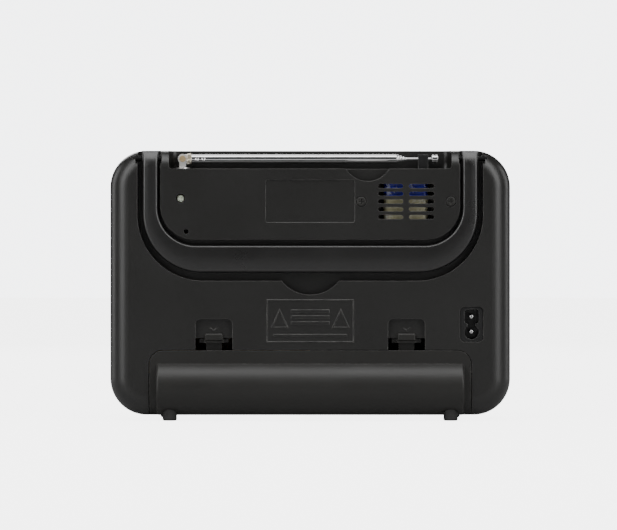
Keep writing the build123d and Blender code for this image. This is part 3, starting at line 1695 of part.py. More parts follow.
# ================================================================ write every piece
def main():
    os.makedirs("parts", exist_ok=True)
    primary, secondary = winding_levels()
    pieces = {
        "front_cabinet": front_cabinet(),
        "rear_cover": rear_cover(),
        "speaker_grille": speaker_grille(),
        "dial_lens": dial_lens(),
        "dial_scale": dial_scale(),
        "speaker_frame": speaker_frame(),
        "speaker_magnet": speaker_magnet(),
        "speaker_surround": speaker_surround(),
        "speaker_cone": speaker_cone(),
        "panel_screws": panel_screws(),
        "main_board": main_board(),
        "tuning_capacitor": tuning_capacitor(),
        "if_transformers": if_transformers(),
        "board_capacitors": board_capacitors(),
        "board_chips": board_chips(),
        "potentiometers": potentiometers(),
        "slide_switches": slide_switches(),
        "power_lamp": power_lamp(),
        "cord_guides": cord_guides(),
        "dial_cord": dial_cord(),
        "ferrite_rod": ferrite_rod(),
        "ferrite_coils": ferrite_coils(),
        "ferrite_clips": ferrite_clips(),
        "transformer_core": transformer_core(),
        "transformer_bobbin": transformer_bobbin(),
        "primary_winding": winding(*primary),
        "secondary_winding": winding(*secondary),
        "transformer_bracket": transformer_bracket(),
        "mains_inlet": mains_inlet(),
        "mains_pins": mains_pins(),
        "headphone_jack": headphone_jack(),
        "battery_box": battery_box(),
        "battery_contacts": battery_contacts(),
        "aerial_base": aerial_base(),
        "aerial_rivet": aerial_rivet(),
        "aerial_clip": channel_clip(),
        "aerial_knuckle": aerial_knuckle(),
        "terminal_screw": terminal_screw(),
        "case_screws": case_screws(),
        "front_feet": front_feet(),
        "handle_pins": handle_pins(),
        "wiring_leads": wiring_leads(),
        "handle": handle(),
        "battery_door": battery_door(),
        "rear_feet": rear_feet(),
        "battery_latch_left": battery_latch(latch_xs[0]),
        "battery_latch_right": battery_latch(latch_xs[1]),
        "tuning_knob": tuning_knob(),
        "tuning_spindle": tuning_spindle(),
        "tuning_drum": tuning_drum(),
        "dial_pointer": dial_pointer(),
        "volume_knob": small_knob(volume_x),
        "tone_knob": small_knob(tone_x),
        "band_slider": slider(band_switch_z),
        "power_slider": slider(power_switch_z),
    }
    for index in range(len(aerial_radii)):
        pieces[f"aerial_section_{index + 1}"] = aerial_section(index)
    for name, shape in pieces.items():
        save(name, shape)


main()
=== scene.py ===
import json
import math

import bpy
import numpy as np
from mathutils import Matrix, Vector


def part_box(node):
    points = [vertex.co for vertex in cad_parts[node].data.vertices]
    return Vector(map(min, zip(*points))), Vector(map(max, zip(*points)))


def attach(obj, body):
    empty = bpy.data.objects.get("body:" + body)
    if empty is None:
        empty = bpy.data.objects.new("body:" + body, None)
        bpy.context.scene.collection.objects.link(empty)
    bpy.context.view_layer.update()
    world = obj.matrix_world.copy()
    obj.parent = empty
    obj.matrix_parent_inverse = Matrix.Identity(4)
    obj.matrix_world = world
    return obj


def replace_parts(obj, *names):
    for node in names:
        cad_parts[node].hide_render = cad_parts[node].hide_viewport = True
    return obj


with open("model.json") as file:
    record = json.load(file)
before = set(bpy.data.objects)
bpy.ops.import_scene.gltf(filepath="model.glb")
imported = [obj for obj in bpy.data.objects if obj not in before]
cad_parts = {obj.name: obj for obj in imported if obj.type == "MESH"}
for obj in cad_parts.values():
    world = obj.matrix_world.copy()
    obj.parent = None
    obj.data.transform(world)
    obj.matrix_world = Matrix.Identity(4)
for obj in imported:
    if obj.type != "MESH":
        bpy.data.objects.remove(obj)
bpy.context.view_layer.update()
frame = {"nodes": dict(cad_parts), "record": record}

nodes = frame["nodes"]
mm = 0.001
nearAxis = 0.0001 * mm


# ---- small tools for meshes

def extent(node):
    # lowest corner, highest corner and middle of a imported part, as arrays in metres
    low, high = (np.array(end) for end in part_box(node))
    return low, high, (low + high) / 2


def addObject(name, data):
    made = bpy.data.objects.new(name, data)
    bpy.context.scene.collection.objects.link(made)
    return made


def newPiece(name, points, faces, body, finish, smoothAngle=40.0):
    # a mesh from whole arrays of points and faces, riding on a body
    mesh = bpy.data.meshes.new(name)
    mesh.from_pydata(points.tolist(), [], faces)
    mesh.validate()
    mesh.update()
    piece = addObject(name, mesh)
    mesh.polygons.foreach_set("use_smooth", np.ones(len(mesh.polygons), bool))
    mesh.set_sharp_from_angle(angle=math.radians(smoothAngle))
    mesh.materials.append(bpy.data.materials[finish])
    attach(piece, body)
    return piece


def gridFaces(rows, columns, closedRows):
    # quads over a grid of points, row by row; each row is a loop, and the rows may form a loop too
    a, b = np.meshgrid(np.arange(rows if closedRows else rows - 1), np.arange(columns), indexing="ij")
    a, b = a.ravel(), b.ravel()
    nextA, nextB = (a + 1) % rows, (b + 1) % columns
    return np.stack([a * columns + b, nextA * columns + b, nextA * columns + nextB, a * columns + nextB], 1)


def signedVolume(points, loops):
    # six times the volume between the origin and faces cut into fans: the sum of a . (b x c)
    a, b, c = points[loops[:, :1]], points[loops[:, 1:-1]], points[loops[:, 2:]]
    return (a * np.cross(b, c)).sum()


def gridPiece(name, grid, body, finish, closedRows=False, smoothAngle=40.0):
    # a closed surface over a grid of points: where the rows form no loop, the first and the last are capped;
    # all faces turn round if they would enclose a negative volume
    rows, columns = grid.shape[:2]
    points = grid.reshape(-1, 3)
    first = np.arange(columns)[None]
    parts = [gridFaces(rows, columns, closedRows)]
    if not closedRows:
        parts += [first, first[:, ::-1] + (rows - 1) * columns]
    step = 1 if sum(signedVolume(points, loops) for loops in parts) > 0 else -1
    faces = [face for loops in parts for face in loops[:, ::step].tolist()]
    return newPiece(name, points, faces, body, finish, smoothAngle)


def turnedGrid(profile, centre, axis, around, ripple=None):
    # radius and distance along the axis are read from the profile, and the angle runs round an axis through
    # the centre: point = distance * axis + centre + radius * (cos angle, sin angle) in the plane across it
    angle = np.linspace(0, 2 * np.pi, around, endpoint=False)[None, :]
    radius, along = profile[:, :1] + 0 * angle, profile[:, 1:] + 0 * angle
    if ripple is not None:
        radius = radius + ripple(profile[:, :1], profile[:, 1:], angle)
    first = "xyz".index(axis)
    points = np.zeros(radius.shape + (3,))
    second, third = (first + 1) % 3, (first + 2) % 3
    points[..., first] = along
    points[..., second] = centre[second] + radius * np.cos(angle)
    points[..., third] = centre[third] + radius * np.sin(angle)
    return points


def turnedPiece(name, profile, centre, axis, around, body, finish, closed=True, ripple=None,
                smoothAngle=40.0):
    # closed: the profile is a loop, so the piece is a ring or tube; otherwise it starts and ends on the axis
    grid = turnedGrid(profile, centre, axis, around, ripple)
    return gridPiece(name, grid, body, finish, closed, smoothAngle)


def arc(centreA, centreB, radius, start, end, steps):
    # points of a circle's arc, with angles in degrees, as pairs
    angle = np.radians(np.linspace(start, end, steps))
    return np.stack([centreA + radius * np.cos(angle), centreB + radius * np.sin(angle)], 1)


# ---- small tools for node trees

def addNode(tree, kind, inputs=None, **settings):
    # each input takes a link where it is given a socket, and a constant otherwise
    node = tree.nodes.new("ShaderNode" + kind)
    for name, value in settings.items():
        setattr(node, name, value)
    for name, value in (inputs or {}).items():
        if isinstance(value, bpy.types.NodeSocket):
            tree.links.new(value, node.inputs[name])
        else:
            node.inputs[name].default_value = value
    return node


def useGroup(tree, group, place, **values):
    return addNode(tree, "Group", {"Vector": place} | values, node_tree=group).outputs


def maths(tree, operation, a, b=0.0, c=0.0, clamp=False):
    return addNode(tree, "Math", {0: a, 1: b, 2: c}, operation=operation, use_clamp=clamp).outputs[0]


def blendColour(tree, factor, a, b):
    return addNode(tree, "Mix", {0: factor, 6: a, 7: b}, data_type="RGBA").outputs[2]


def blendValue(tree, factor, a, b):
    return addNode(tree, "Mix", {0: factor, 2: a, 3: b}, data_type="FLOAT").outputs[0]


def spread(tree, value, low, high, newLow=0.0, newHigh=1.0):
    return addNode(tree, "MapRange", {0: value, 1: low, 2: high, 3: newLow, 4: newHigh}).outputs[0]


def noise(tree, vector, scale, detail=2.0, roughness=0.5):
    inputs = {"Vector": vector, "Scale": scale, "Detail": detail, "Roughness": roughness}
    return addNode(tree, "TexNoise", inputs).outputs[0]


def stretched(tree, vector, scale):
    # object coordinates scaled by a different amount along each axis
    return addNode(tree, "Mapping", {"Vector": vector, "Scale": scale}).outputs[0]


def newGroup(name, inputs, outputs):
    # a shader node group: its inputs are a dictionary of defaults, and its outputs a list of names
    group = bpy.data.node_groups.new(name, "ShaderNodeTree")
    for label, value in inputs.items():
        kind = "NodeSocketVector" if label == "Vector" else "NodeSocketFloat"
        socket = group.interface.new_socket(label, in_out="INPUT", socket_type=kind)
        if kind == "NodeSocketFloat":
            socket.default_value = value
    for label in outputs:
        group.interface.new_socket(label, in_out="OUTPUT", socket_type="NodeSocketFloat")
    return group, group.nodes.new("NodeGroupInput").outputs, group.nodes.new("NodeGroupOutput").inputs


def buildSparkGrain():
    # the fine pitted skin that a spark-eroded mould leaves: small cells over a slower roll of the surface
    inputs = {"Vector": 0, "Grain": 1800.0, "Roll": 60.0}
    group, given, out = newGroup("sparkGrain", inputs, ["Height", "Tone"])
    fine = noise(group, given["Vector"], given["Grain"], 3.0, 0.6)
    cells = addNode(group, "TexVoronoi", {"Vector": given["Vector"], "Scale": given["Grain"]})
    roll = noise(group, given["Vector"], given["Roll"], 2.0, 0.5)
    height = maths(group, "MULTIPLY_ADD", cells.outputs["Distance"], 0.5, maths(group, "MULTIPLY", fine, 0.6))
    group.links.new(height, out["Height"])
    group.links.new(maths(group, "MULTIPLY_ADD", roll, 0.7, maths(group, "MULTIPLY", fine, 0.3)), out["Tone"])
    return group


def buildEdgeWearAndHighlight():
    # where the surface turns sharply within a short reach, broken up by noise: on metal, edges that wear
    # unevenly; on plastic, partly wear and partly a painted highlight line along the edges
    group, given, out = newGroup("edgeWearAndHighlight", {"Vector": 0, "Reach": 0.0006, "Break": 220.0}, ["Mask"])
    rounded = addNode(group, "Bevel", {"Radius": given["Reach"]}, samples=4).outputs[0]
    flat = addNode(group, "NewGeometry").outputs["Normal"]
    same = addNode(group, "VectorMath", {0: rounded, 1: flat}, operation="DOT_PRODUCT").outputs["Value"]
    edge = spread(group, same, 0.995, 0.86)
    broken = spread(group, noise(group, given["Vector"], given["Break"], 3.0, 0.6), 0.35, 0.65)
    group.links.new(maths(group, "MULTIPLY", edge, broken, clamp=True), out["Mask"])
    return group


def buildHandling():
    # soft patches where hands have polished or greased the surface
    group, given, out = newGroup("handling", {"Vector": 0, "Size": 25.0}, ["Patch"])
    wide = noise(group, given["Vector"], given["Size"], 4.0, 0.55)
    group.links.new(spread(group, wide, 0.35, 0.7), out["Patch"])
    return group


def buildDust():
    # a thin settled film on what faces up, in specks
    group, given, out = newGroup("settledDust", {"Vector": 0, "Speck": 900.0}, ["Mask"])
    normal = addNode(group, "NewGeometry").outputs["Normal"]
    up = addNode(group, "SeparateXYZ", {0: normal}).outputs["Z"]
    specks = spread(group, noise(group, given["Vector"], given["Speck"], 2.0, 0.7), 0.45, 0.8)
    group.links.new(maths(group, "MULTIPLY", spread(group, up, 0.5, 1.0), specks, clamp=True), out["Mask"])
    return group


def buildLineGrain():
    # drawn or brushed metal: noise pulled out along one direction by the vector that it is given
    group, given, out = newGroup("lineGrain", {"Vector": 0, "Fine": 1.0}, ["Height", "Tone"])
    lines = noise(group, given["Vector"], given["Fine"], 4.0, 0.7)
    group.links.new(lines, out["Height"])
    group.links.new(spread(group, lines, 0.3, 0.7), out["Tone"])
    return group


sparkGrain = buildSparkGrain()
edgeWearAndHighlight = buildEdgeWearAndHighlight()
handling = buildHandling()
settledDust = buildDust()
lineGrain = buildLineGrain()
print("stage: shared effects made")


def startMaterial(name, **constants):
    # a material with its shader, and the object coordinates that its patterns read
    made = bpy.data.materials.new(name)
    made.use_nodes = True
    tree = made.node_tree
    shader = tree.nodes["Principled BSDF"]
    for label, value in constants.items():
        shader.inputs[label.replace("_", " ")].default_value = value
    place = addNode(tree, "TexCoord").outputs["Object"]
    return tree, shader, place


def feed(tree, shader, **links):
    for label, socket in links.items():
        tree.links.new(socket, shader.inputs[label.replace("_", " ")])


def bump(tree, height, distance, edgeRound=0.0):
    # fine relief, over corners that a bevel of the given radius has softened
    inputs = {"Height": height, "Distance": distance}
    if edgeRound:
        inputs["Normal"] = addNode(tree, "Bevel", {"Radius": edgeRound}, samples=6).outputs[0]
    return addNode(tree, "Bump", inputs).outputs[0]


def rgb(*values):
    return (*values, 1.0)


def grey(value):
    return rgb(value, value, value)


def mouldedPlastic(name, **changes):
    # pigmented plastic from a textured mould, polished where it is handled, and paler along its edges, partly
    # from wear and partly as a painted highlight
    look = cabinetLook | changes
    tree, shader, place = startMaterial(name, IOR=look["ior"])
    grain = useGroup(tree, sparkGrain, place, Grain=look["grain"], Roll=look["roll"])
    wornAndLitEdge = useGroup(tree, edgeWearAndHighlight, place, Reach=look["edgeReach"], Break=look["wearBreak"])["Mask"]
    patch = useGroup(tree, handling, place, Size=look["patchSize"])["Patch"]
    film = useGroup(tree, settledDust, place, Speck=700.0)["Mask"]
    colour = blendColour(tree, grain["Tone"], look["deep"], look["pale"])
    # painted highlight: a pale tint along the edges, partly wear and partly a painted highlight line
    colour = blendColour(tree, maths(tree, "MULTIPLY", wornAndLitEdge, look["wear"]), colour, look["edge"])
    colour = blendColour(tree, maths(tree, "MULTIPLY", film, look["dust"]), colour, look["film"])
    rough = blendValue(tree, patch, look["roughLow"], look["roughHigh"])
    rough = maths(tree, "SUBTRACT", rough, maths(tree, "MULTIPLY", wornAndLitEdge, look["polish"]), clamp=True)
    feed(tree, shader, Base_Color=colour, Roughness=rough,
         Normal=bump(tree, grain["Height"], look["grainDepth"], look["edgeRound"]))


# the edge colour is partly wear and partly a painted highlight line along the plastic's edges
cabinetLook = {
    "deep": rgb(0.0087, 0.0084, 0.0078), "pale": rgb(0.0123, 0.0120, 0.0110),
    "edge": rgb(0.150, 0.146, 0.136), "film": rgb(0.32, 0.30, 0.27), "polish": 0.12, "wearBreak": 240.0,
    "grain": 1500.0, "grainDepth": 0.00004, "roll": 40.0, "edgeReach": 0.0005, "patchSize": 22.0,
    "wear": 0.6, "dust": 0.02, "roughLow": 0.33, "roughHigh": 0.38, "ior": 1.54, "edgeRound": 0.0005,
}
mouldedPlastic("cabinetPlastic")
mouldedPlastic(
    "doorPlastic", deep=rgb(0.0102, 0.0098, 0.0088), pale=rgb(0.0146, 0.0140, 0.0124), roughLow=0.41,
    roughHigh=0.46, wear=0.5, ior=1.46)
mouldedPlastic(
    "handlePlastic", deep=rgb(0.0078, 0.0075, 0.0073), pale=rgb(0.0110, 0.0107, 0.0103), wear=0.5,
    ior=1.64, grain=1900.0, roughLow=0.27, roughHigh=0.32, patchSize=35.0)
mouldedPlastic(
    "knobPlastic", deep=grey(0.012), pale=grey(0.020), grain=2400.0, grainDepth=0.00002, roughLow=0.24,
    roughHigh=0.36)
mouldedPlastic(
    "socketPlastic", deep=rgb(0.0060, 0.0060, 0.0062), pale=rgb(0.0110, 0.0110, 0.0112),
    grainDepth=0.00001, roughLow=0.22, roughHigh=0.33)
mouldedPlastic(
    "nylonPlastic", deep=rgb(0.52, 0.50, 0.42), pale=rgb(0.66, 0.64, 0.57), edge=rgb(0.80, 0.79, 0.74),
    dust=0.3, grainDepth=0.00001, roughLow=0.38, roughHigh=0.5)
# painted highlight: the pale edge tint draws the clip's thin pale outline
mouldedPlastic(
    "clipPlastic", deep=grey(0.0045), pale=grey(0.0085), edge=rgb(0.20, 0.20, 0.19), wear=0.9,
    edgeReach=0.0004)
mouldedPlastic(
    "silverPlastic", deep=rgb(0.34, 0.34, 0.35), pale=rgb(0.44, 0.44, 0.45), edge=grey(0.10),
    grainDepth=0.00001, roughLow=0.25, roughHigh=0.36)
mouldedPlastic(
    "componentPlastic", deep=rgb(0.018, 0.018, 0.020), pale=rgb(0.030, 0.030, 0.033), grainDepth=0.00002,
    dust=0.3)


def platedMetal(name, **changes):
    # polished plating over drawn metal: faint lines along the draw, haze where it is fingered
    look = chromeLook | changes
    tree, shader, place = startMaterial(name, Metallic=1.0)
    pulled = stretched(tree, place, look["pull"])
    lines = useGroup(tree, lineGrain, pulled, Fine=1.0)
    patch = useGroup(tree, handling, place, Size=look["patchSize"])["Patch"]
    wornAndLitEdge = useGroup(tree, edgeWearAndHighlight, place, Reach=0.0002, Break=500.0)["Mask"]
    colour = blendColour(tree, patch, look["bright"], look["hazed"])
    colour = blendColour(tree, maths(tree, "MULTIPLY", wornAndLitEdge, look["wear"]), colour, look["under"])
    rough = maths(tree, "MULTIPLY_ADD", lines["Tone"], look["lineRough"], look["rough"])
    rough = maths(tree, "MULTIPLY_ADD", patch, look["hazeRough"], rough)
    feed(tree, shader, Base_Color=colour, Roughness=rough, Normal=bump(tree, lines["Height"], look["depth"]))


chromeLook = {
    "pull": (90.0, 2600.0, 2600.0), "patchSize": 60.0, "bright": rgb(0.80, 0.80, 0.81),
    "hazed": rgb(0.72, 0.71, 0.70), "under": rgb(0.62, 0.55, 0.42), "wear": 0.25, "rough": 0.045,
    "lineRough": 0.05, "hazeRough": 0.05, "depth": 0.000003,
}
platedMetal("chromePlate")
platedMetal(
    "brushedSteel", bright=rgb(0.82, 0.76, 0.64), hazed=rgb(0.66, 0.60, 0.48), rough=0.30,
    pull=(2600.0, 300.0, 300.0))
platedMetal(
    "brassPlate", bright=rgb(0.92, 0.72, 0.42), hazed=rgb(0.76, 0.57, 0.32), under=rgb(0.40, 0.28, 0.14),
    rough=0.34, pull=(900.0, 900.0, 900.0))
platedMetal(
    "satinPlate", bright=rgb(0.92, 0.91, 0.90), hazed=rgb(0.80, 0.78, 0.75), rough=0.38, hazeRough=0.08,
    pull=(400.0, 400.0, 400.0))
platedMetal(
    "terminalPlate", bright=rgb(0.90, 0.94, 0.82), hazed=rgb(0.78, 0.83, 0.72),
    under=rgb(0.60, 0.60, 0.50), rough=0.42, hazeRough=0.08, pull=(300.0, 300.0, 300.0), depth=0.00001)
platedMetal(
    "zincPlate", bright=rgb(0.58, 0.58, 0.56), hazed=rgb(0.44, 0.45, 0.46), under=rgb(0.30, 0.28, 0.25),
    rough=0.28, hazeRough=0.14, pull=(200.0, 200.0, 2400.0), depth=0.00001)
platedMetal(
    "blackSteel", bright=grey(0.020), hazed=grey(0.013), under=rgb(0.10, 0.09, 0.08), rough=0.48,
    hazeRough=0.1, pull=(700.0, 700.0, 700.0), depth=0.00001)
platedMetal(
    "canMetal", bright=grey(0.62), hazed=grey(0.50), rough=0.22, pull=(2200.0, 80.0, 2200.0),
    depth=0.00001)


def speckled(name, **changes):
    # a matt body full of grains of another tone: rubber, ferrite, lacquered iron, pressed paper
    look = rubberLook | changes
    tree, shader, place = startMaterial(name, Metallic=look["metallic"])
    coarse = noise(tree, place, look["coarse"], 5.0, 0.6)
    grains = addNode(tree, "TexVoronoi", {"Vector": place, "Scale": look["grain"]}).outputs["Distance"]
    film = useGroup(tree, settledDust, place, Speck=800.0)["Mask"]
    colour = blendColour(tree, spread(tree, coarse, 0.3, 0.7), look["deep"], look["pale"])
    colour = blendColour(tree, maths(tree, "MULTIPLY", film, look["dust"]), colour, rgb(0.34, 0.32, 0.28))
    rough = blendValue(tree, coarse, look["roughLow"], look["roughHigh"])
    height = maths(tree, "MULTIPLY_ADD", grains, 0.5, coarse)
    feed(tree, shader, Base_Color=colour, Roughness=rough, Normal=bump(tree, height, look["depth"]))


rubberLook = {
    "deep": grey(0.010), "pale": rgb(0.022, 0.021, 0.020), "coarse": 300.0, "grain": 2200.0,
    "depth": 0.00006, "dust": 0.4, "roughLow": 0.62, "roughHigh": 0.85,
    "metallic": 0.0,
}
speckled("footRubber")
speckled(
    "ferriteBody", deep=rgb(0.030, 0.028, 0.028), pale=rgb(0.060, 0.056, 0.055), roughLow=0.4,
    roughHigh=0.6)
speckled(
    "ironCore", deep=rgb(0.050, 0.045, 0.042), pale=rgb(0.12, 0.105, 0.095), roughLow=0.35, roughHigh=0.6,
    coarse=120.0, metallic=0.6)
speckled(
    "magnetBody", deep=rgb(0.055, 0.055, 0.056), pale=grey(0.11), roughLow=0.55, roughHigh=0.75)
speckled(
    "conePaper", deep=grey(0.012), pale=rgb(0.045, 0.043, 0.040), coarse=900.0, grain=700.0, depth=0.00012,
    roughLow=0.8, roughHigh=0.95)
speckled(
    "grillePaint", deep=grey(0.014), pale=grey(0.024), coarse=700.0, grain=2600.0, depth=0.00003,
    roughLow=0.35, roughHigh=0.5, dust=0.15)


def tapedWinding(name, deep, pale, glint, bands):
    # turns of thin film tape over the wire: bands up the coil, shiny, with a lapped seam and painted glints
    # where the tape crumples
    tree, shader, place = startMaterial(name, Coat_Weight=0.5, Coat_Roughness=0.12)
    inputs = {"Vector": place, "Scale": bands, "Distortion": 1.5, "Detail": 2.0, "Detail Scale": 6.0}
    laps = addNode(tree, "TexWave", inputs, bands_direction="Z").outputs[1]
    crumple = noise(tree, place, 260.0, 4.0, 0.6)
    colour = blendColour(tree, laps, deep, pale)
    # painted highlight: pale glints painted into the colour where the crumple is high
    colour = blendColour(tree, spread(tree, crumple, 0.55, 0.75), colour, glint)
    rough = blendValue(tree, crumple, 0.12, 0.4)
    height = maths(tree, "MULTIPLY_ADD", laps, 0.6, crumple)
    feed(tree, shader, Base_Color=colour, Roughness=rough, Normal=bump(tree, height, 0.0003))


tapedWinding(
    "blueTape", deep=rgb(0.008, 0.010, 0.34), pale=rgb(0.03, 0.04, 0.62), glint=rgb(0.75, 0.80, 0.95),
    bands=70.0)
tapedWinding(
    "yellowTape", deep=rgb(0.56, 0.52, 0.30), pale=rgb(0.80, 0.76, 0.54), glint=rgb(0.92, 0.90, 0.80),
    bands=60.0)
tapedWinding(
    "copperWire", deep=rgb(0.30, 0.12, 0.04), pale=rgb(0.62, 0.30, 0.12), glint=rgb(0.80, 0.48, 0.24),
    bands=900.0)


def boardLaminate(name):
    # paper laminate with pale fibres and copper tracks under a thin lacquer
    tree, shader, place = startMaterial(name, Coat_Weight=0.3, Coat_Roughness=0.2)
    fibres = noise(tree, stretched(tree, place, (60.0, 400.0, 900.0)), 1.0, 4.0, 0.6)
    tracks = addNode(tree, "TexVoronoi", {"Vector": place, "Scale": 160.0}, feature="DISTANCE_TO_EDGE")
    trackMask = spread(tree, tracks.outputs["Distance"], 0.10, 0.12)
    colour = blendColour(tree, fibres, rgb(0.22, 0.13, 0.045), rgb(0.38, 0.25, 0.10))
    colour = blendColour(tree, trackMask, colour, rgb(0.30, 0.17, 0.06))
    feed(tree, shader, Base_Color=colour, Roughness=blendValue(tree, trackMask, 0.55, 0.3),
         Normal=bump(tree, trackMask, 0.00004))


boardLaminate("laminate")


def clearPlastic(name, tint, rough):
    # transparent moulding with faint wipe marks in its gloss
    tree, shader, place = startMaterial(name, Transmission_Weight=1.0, IOR=1.49)
    marks = noise(tree, stretched(tree, place, (30.0, 30.0, 300.0)), 1.0, 4.0, 0.6)
    feed(tree, shader, Base_Color=blendColour(tree, marks, rgb(*tint), rgb(*(0.97 * c for c in tint))),
         Roughness=spread(tree, marks, 0.3, 0.8, rough, rough + 0.06))


clearPlastic("clearLens", (0.97, 0.98, 0.98), 0.01)
clearPlastic("redLamp", (0.85, 0.05, 0.04), 0.08)


def glossPaint(name, deep, pale, rough):
    # smooth coloured plastic or enamel with a little orange peel
    tree, shader, place = startMaterial(name)
    peel = noise(tree, place, 500.0, 3.0, 0.5)
    patch = useGroup(tree, handling, place, Size=90.0)["Patch"]
    feed(tree, shader, Base_Color=blendColour(tree, patch, rgb(*deep), rgb(*pale)),
         Roughness=blendValue(tree, patch, rough, rough + 0.1), Normal=bump(tree, peel, 0.00003))


glossPaint("pointerRed", (0.55, 0.03, 0.012), (0.72, 0.06, 0.03), 0.2)
glossPaint("leadSleeve", (0.30, 0.02, 0.015), (0.45, 0.04, 0.03), 0.3)
glossPaint("canSleeve", (0.012, 0.02, 0.09), (0.03, 0.045, 0.18), 0.22)
glossPaint("scaleBlack", (0.014, 0.014, 0.015), (0.024, 0.024, 0.025), 0.35)
glossPaint("scaleInk", (0.70, 0.69, 0.62), (0.80, 0.79, 0.74), 0.45)
glossPaint("accentInk", (0.30, 0.45, 0.16), (0.38, 0.55, 0.20), 0.45)


def cordFibre(name):
    # a plaited cord: two waves that cross
    tree, shader, place = startMaterial(name)
    strands = {"Vector": place, "Scale": 500.0, "Distortion": 0.5}
    plait = maths(tree, "MULTIPLY", *(
        addNode(tree, "TexWave", strands, bands_direction=way).outputs[1] for way in "XZ"))
    feed(tree, shader, Base_Color=blendColour(tree, plait, rgb(0.38, 0.34, 0.26), rgb(0.66, 0.62, 0.52)),
         Roughness=blendValue(tree, plait, 0.9, 0.7), Normal=bump(tree, plait, 0.0001))


cordFibre("plaitedCord")
print("stage: finishes made")

finishOf = {
    "cabinet_plastic": "cabinetPlastic", "handle_plastic": "handlePlastic", "door_plastic": "doorPlastic",
    "grille_paint": "grillePaint", "lens_plastic": "clearLens", "scale_print": "scaleBlack",
    "pointer_red": "pointerRed", "chrome": "chromePlate", "brass": "brassPlate", "zinc_steel": "zincPlate",
    "black_steel": "blackSteel", "rubber": "footRubber", "socket_plastic": "socketPlastic",
    "board_laminate": "laminate", "component_black": "componentPlastic", "component_blue": "canSleeve",
    "can_metal": "canMetal", "ferrite": "ferriteBody", "coil_copper": "copperWire", "blue_tape": "blueTape",
    "yellow_tape": "yellowTape", "bobbin_nylon": "nylonPlastic", "core_steel": "ironCore",
    "paper": "conePaper", "magnet_grey": "magnetBody", "cord_fibre": "plaitedCord",
    "lead_sleeve": "leadSleeve", "lamp_red": "redLamp", "knob_plastic": "knobPlastic",
    "silver_plastic": "silverPlastic",
}
ownFinish = {"aerial_base": "satinPlate", "aerial_clip": "clipPlastic", "case_screws": "doorPlastic"}
for row in frame["record"]["subparts"]:
    part = nodes[row["node"]]
    for index in range(len(part.material_slots)):
        finish = ownFinish.get(row["node"], finishOf[row["material_slot"]])
        part.material_slots[index].material = bpy.data.materials[finish]
print("stage: packed parts finished")


# ---- carrying handle

handleShape = {
    "armWidth": 9.2 * mm, "gripHeight": 15.7 * mm, "outerRadius": 34.0 * mm, "innerRadius": 21.5 * mm,
    "rearEdge": 1.9 * mm, "frontEdge": 0.8 * mm, "crown": 0.28 * mm, "thickness": 9.0 * mm,
    "rootCurve": 9.6 * mm, "rootAngle": 88, "rootLimit": 0.9995, "rootSteps": 14, "armSteps": 40,
    "cornerSteps": 40, "gripSteps": 60, "rearSteps": 8, "frontSteps": 5, "flatSteps": 9,
}


def handleRail(halfWidth, lowZ, radius, pivotZ, shape):
    # one edge of the handle's outline: down the arm, round the corner, along the grip and back up the other
    # arm, where an arm starts above the pivot, at the end of the root's curve
    half = shape["thickness"] / 2
    cornerX, cornerZ = halfWidth - radius, lowZ + radius
    rise = np.radians(np.linspace(shape["rootAngle"], 0, shape["rootSteps"]))[:-1]
    heights = np.concatenate([pivotZ + half * np.sin(rise), np.linspace(pivotZ, cornerZ, shape["armSteps"])])
    down = np.stack([np.full(len(heights), -halfWidth), heights], 1)
    turn = arc(-cornerX, cornerZ, radius, 180, 270, shape["cornerSteps"])
    alongX = np.linspace(-cornerX, cornerX, shape["gripSteps"])
    along = np.stack([alongX, np.full(len(alongX), lowZ)], 1)
    side = np.concatenate([down, turn[1:]])
    return np.concatenate([side, along[1:], (side[::-1] * np.array([-1, 1]))[1:]])


def makeHandle(shape):
    # outline rails are joined by a rounded section: point = rail + inset towards the other rail, and a depth
    # from the middle plane; at each root the front depth closes in on a circle about the pivot, and the rear
    # depth falls with the square of the height above the bend, so that the arm's back leans over at the top
    low, high, middle = extent("handle")
    half = shape["thickness"] / 2
    pivotZ = high[2] - half
    outer = handleRail(high[0], low[2], shape["outerRadius"], pivotZ, shape)
    inner = handleRail(high[0] - shape["armWidth"], low[2] + shape["gripHeight"], shape["innerRadius"],
                       pivotZ, shape)

    def rootShare(start, reach):
        # how far up the root's curve a point is, short of its very end
        height = (outer[:, 1] + inner[:, 1]) / 2
        return np.clip(height - start, 0, reach * shape["rootLimit"]) / reach

    frontScale = np.sqrt(1 - rootShare(pivotZ, half) ** 2)
    rearScale = 1 - rootShare(high[2] - shape["rootCurve"], shape["rootCurve"]) ** 2
    across = inner - outer
    width = np.linalg.norm(across, axis=1)[:, None]
    across = across / width
    back, front = shape["rearEdge"], shape["frontEdge"]
    rearArc = np.radians(np.linspace(0, 90, shape["rearSteps"]))
    frontArc = np.radians(np.linspace(0, 90, shape["frontSteps"]))
    flat = np.linspace(0, 1, shape["flatSteps"])[1:-1]
    top = half - shape["crown"]
    edgeInset = np.concatenate([front * (1 - np.sin(frontArc)), back * (1 - np.cos(rearArc))])
    edgeDepth = np.concatenate([-half + front * (1 - np.cos(frontArc)), top - back * (1 - np.sin(rearArc))])
    ones = np.ones((len(width), 1))
    crossing = back + (width - 2 * back) * flat
    frontCrossing = front + (width - 2 * front) * flat[::-1]
    domed = top + shape["crown"] * np.sin(np.pi * flat)
    insets = np.concatenate([ones * edgeInset, crossing, width - ones * edgeInset[::-1], frontCrossing], 1)
    depths = np.concatenate([ones * edgeDepth, ones * domed, ones * edgeDepth[::-1],
                             -half * np.ones_like(frontCrossing)], 1)
    depths = depths * np.where(depths > 0, rearScale[:, None], frontScale[:, None])
    points = np.zeros(insets.shape + (3,))
    points[..., 0] = outer[:, :1] + across[:, :1] * insets
    points[..., 1] = middle[1] + depths
    points[..., 2] = outer[:, 1:] + across[:, 1:] * insets
    piece = gridPiece("carryHandle", points, "handle_body", "handlePlastic",
                      smoothAngle=35.0)
    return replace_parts(piece, "handle")


makeHandle(handleShape)
print("stage: handle made")


# ---- telescopic aerial

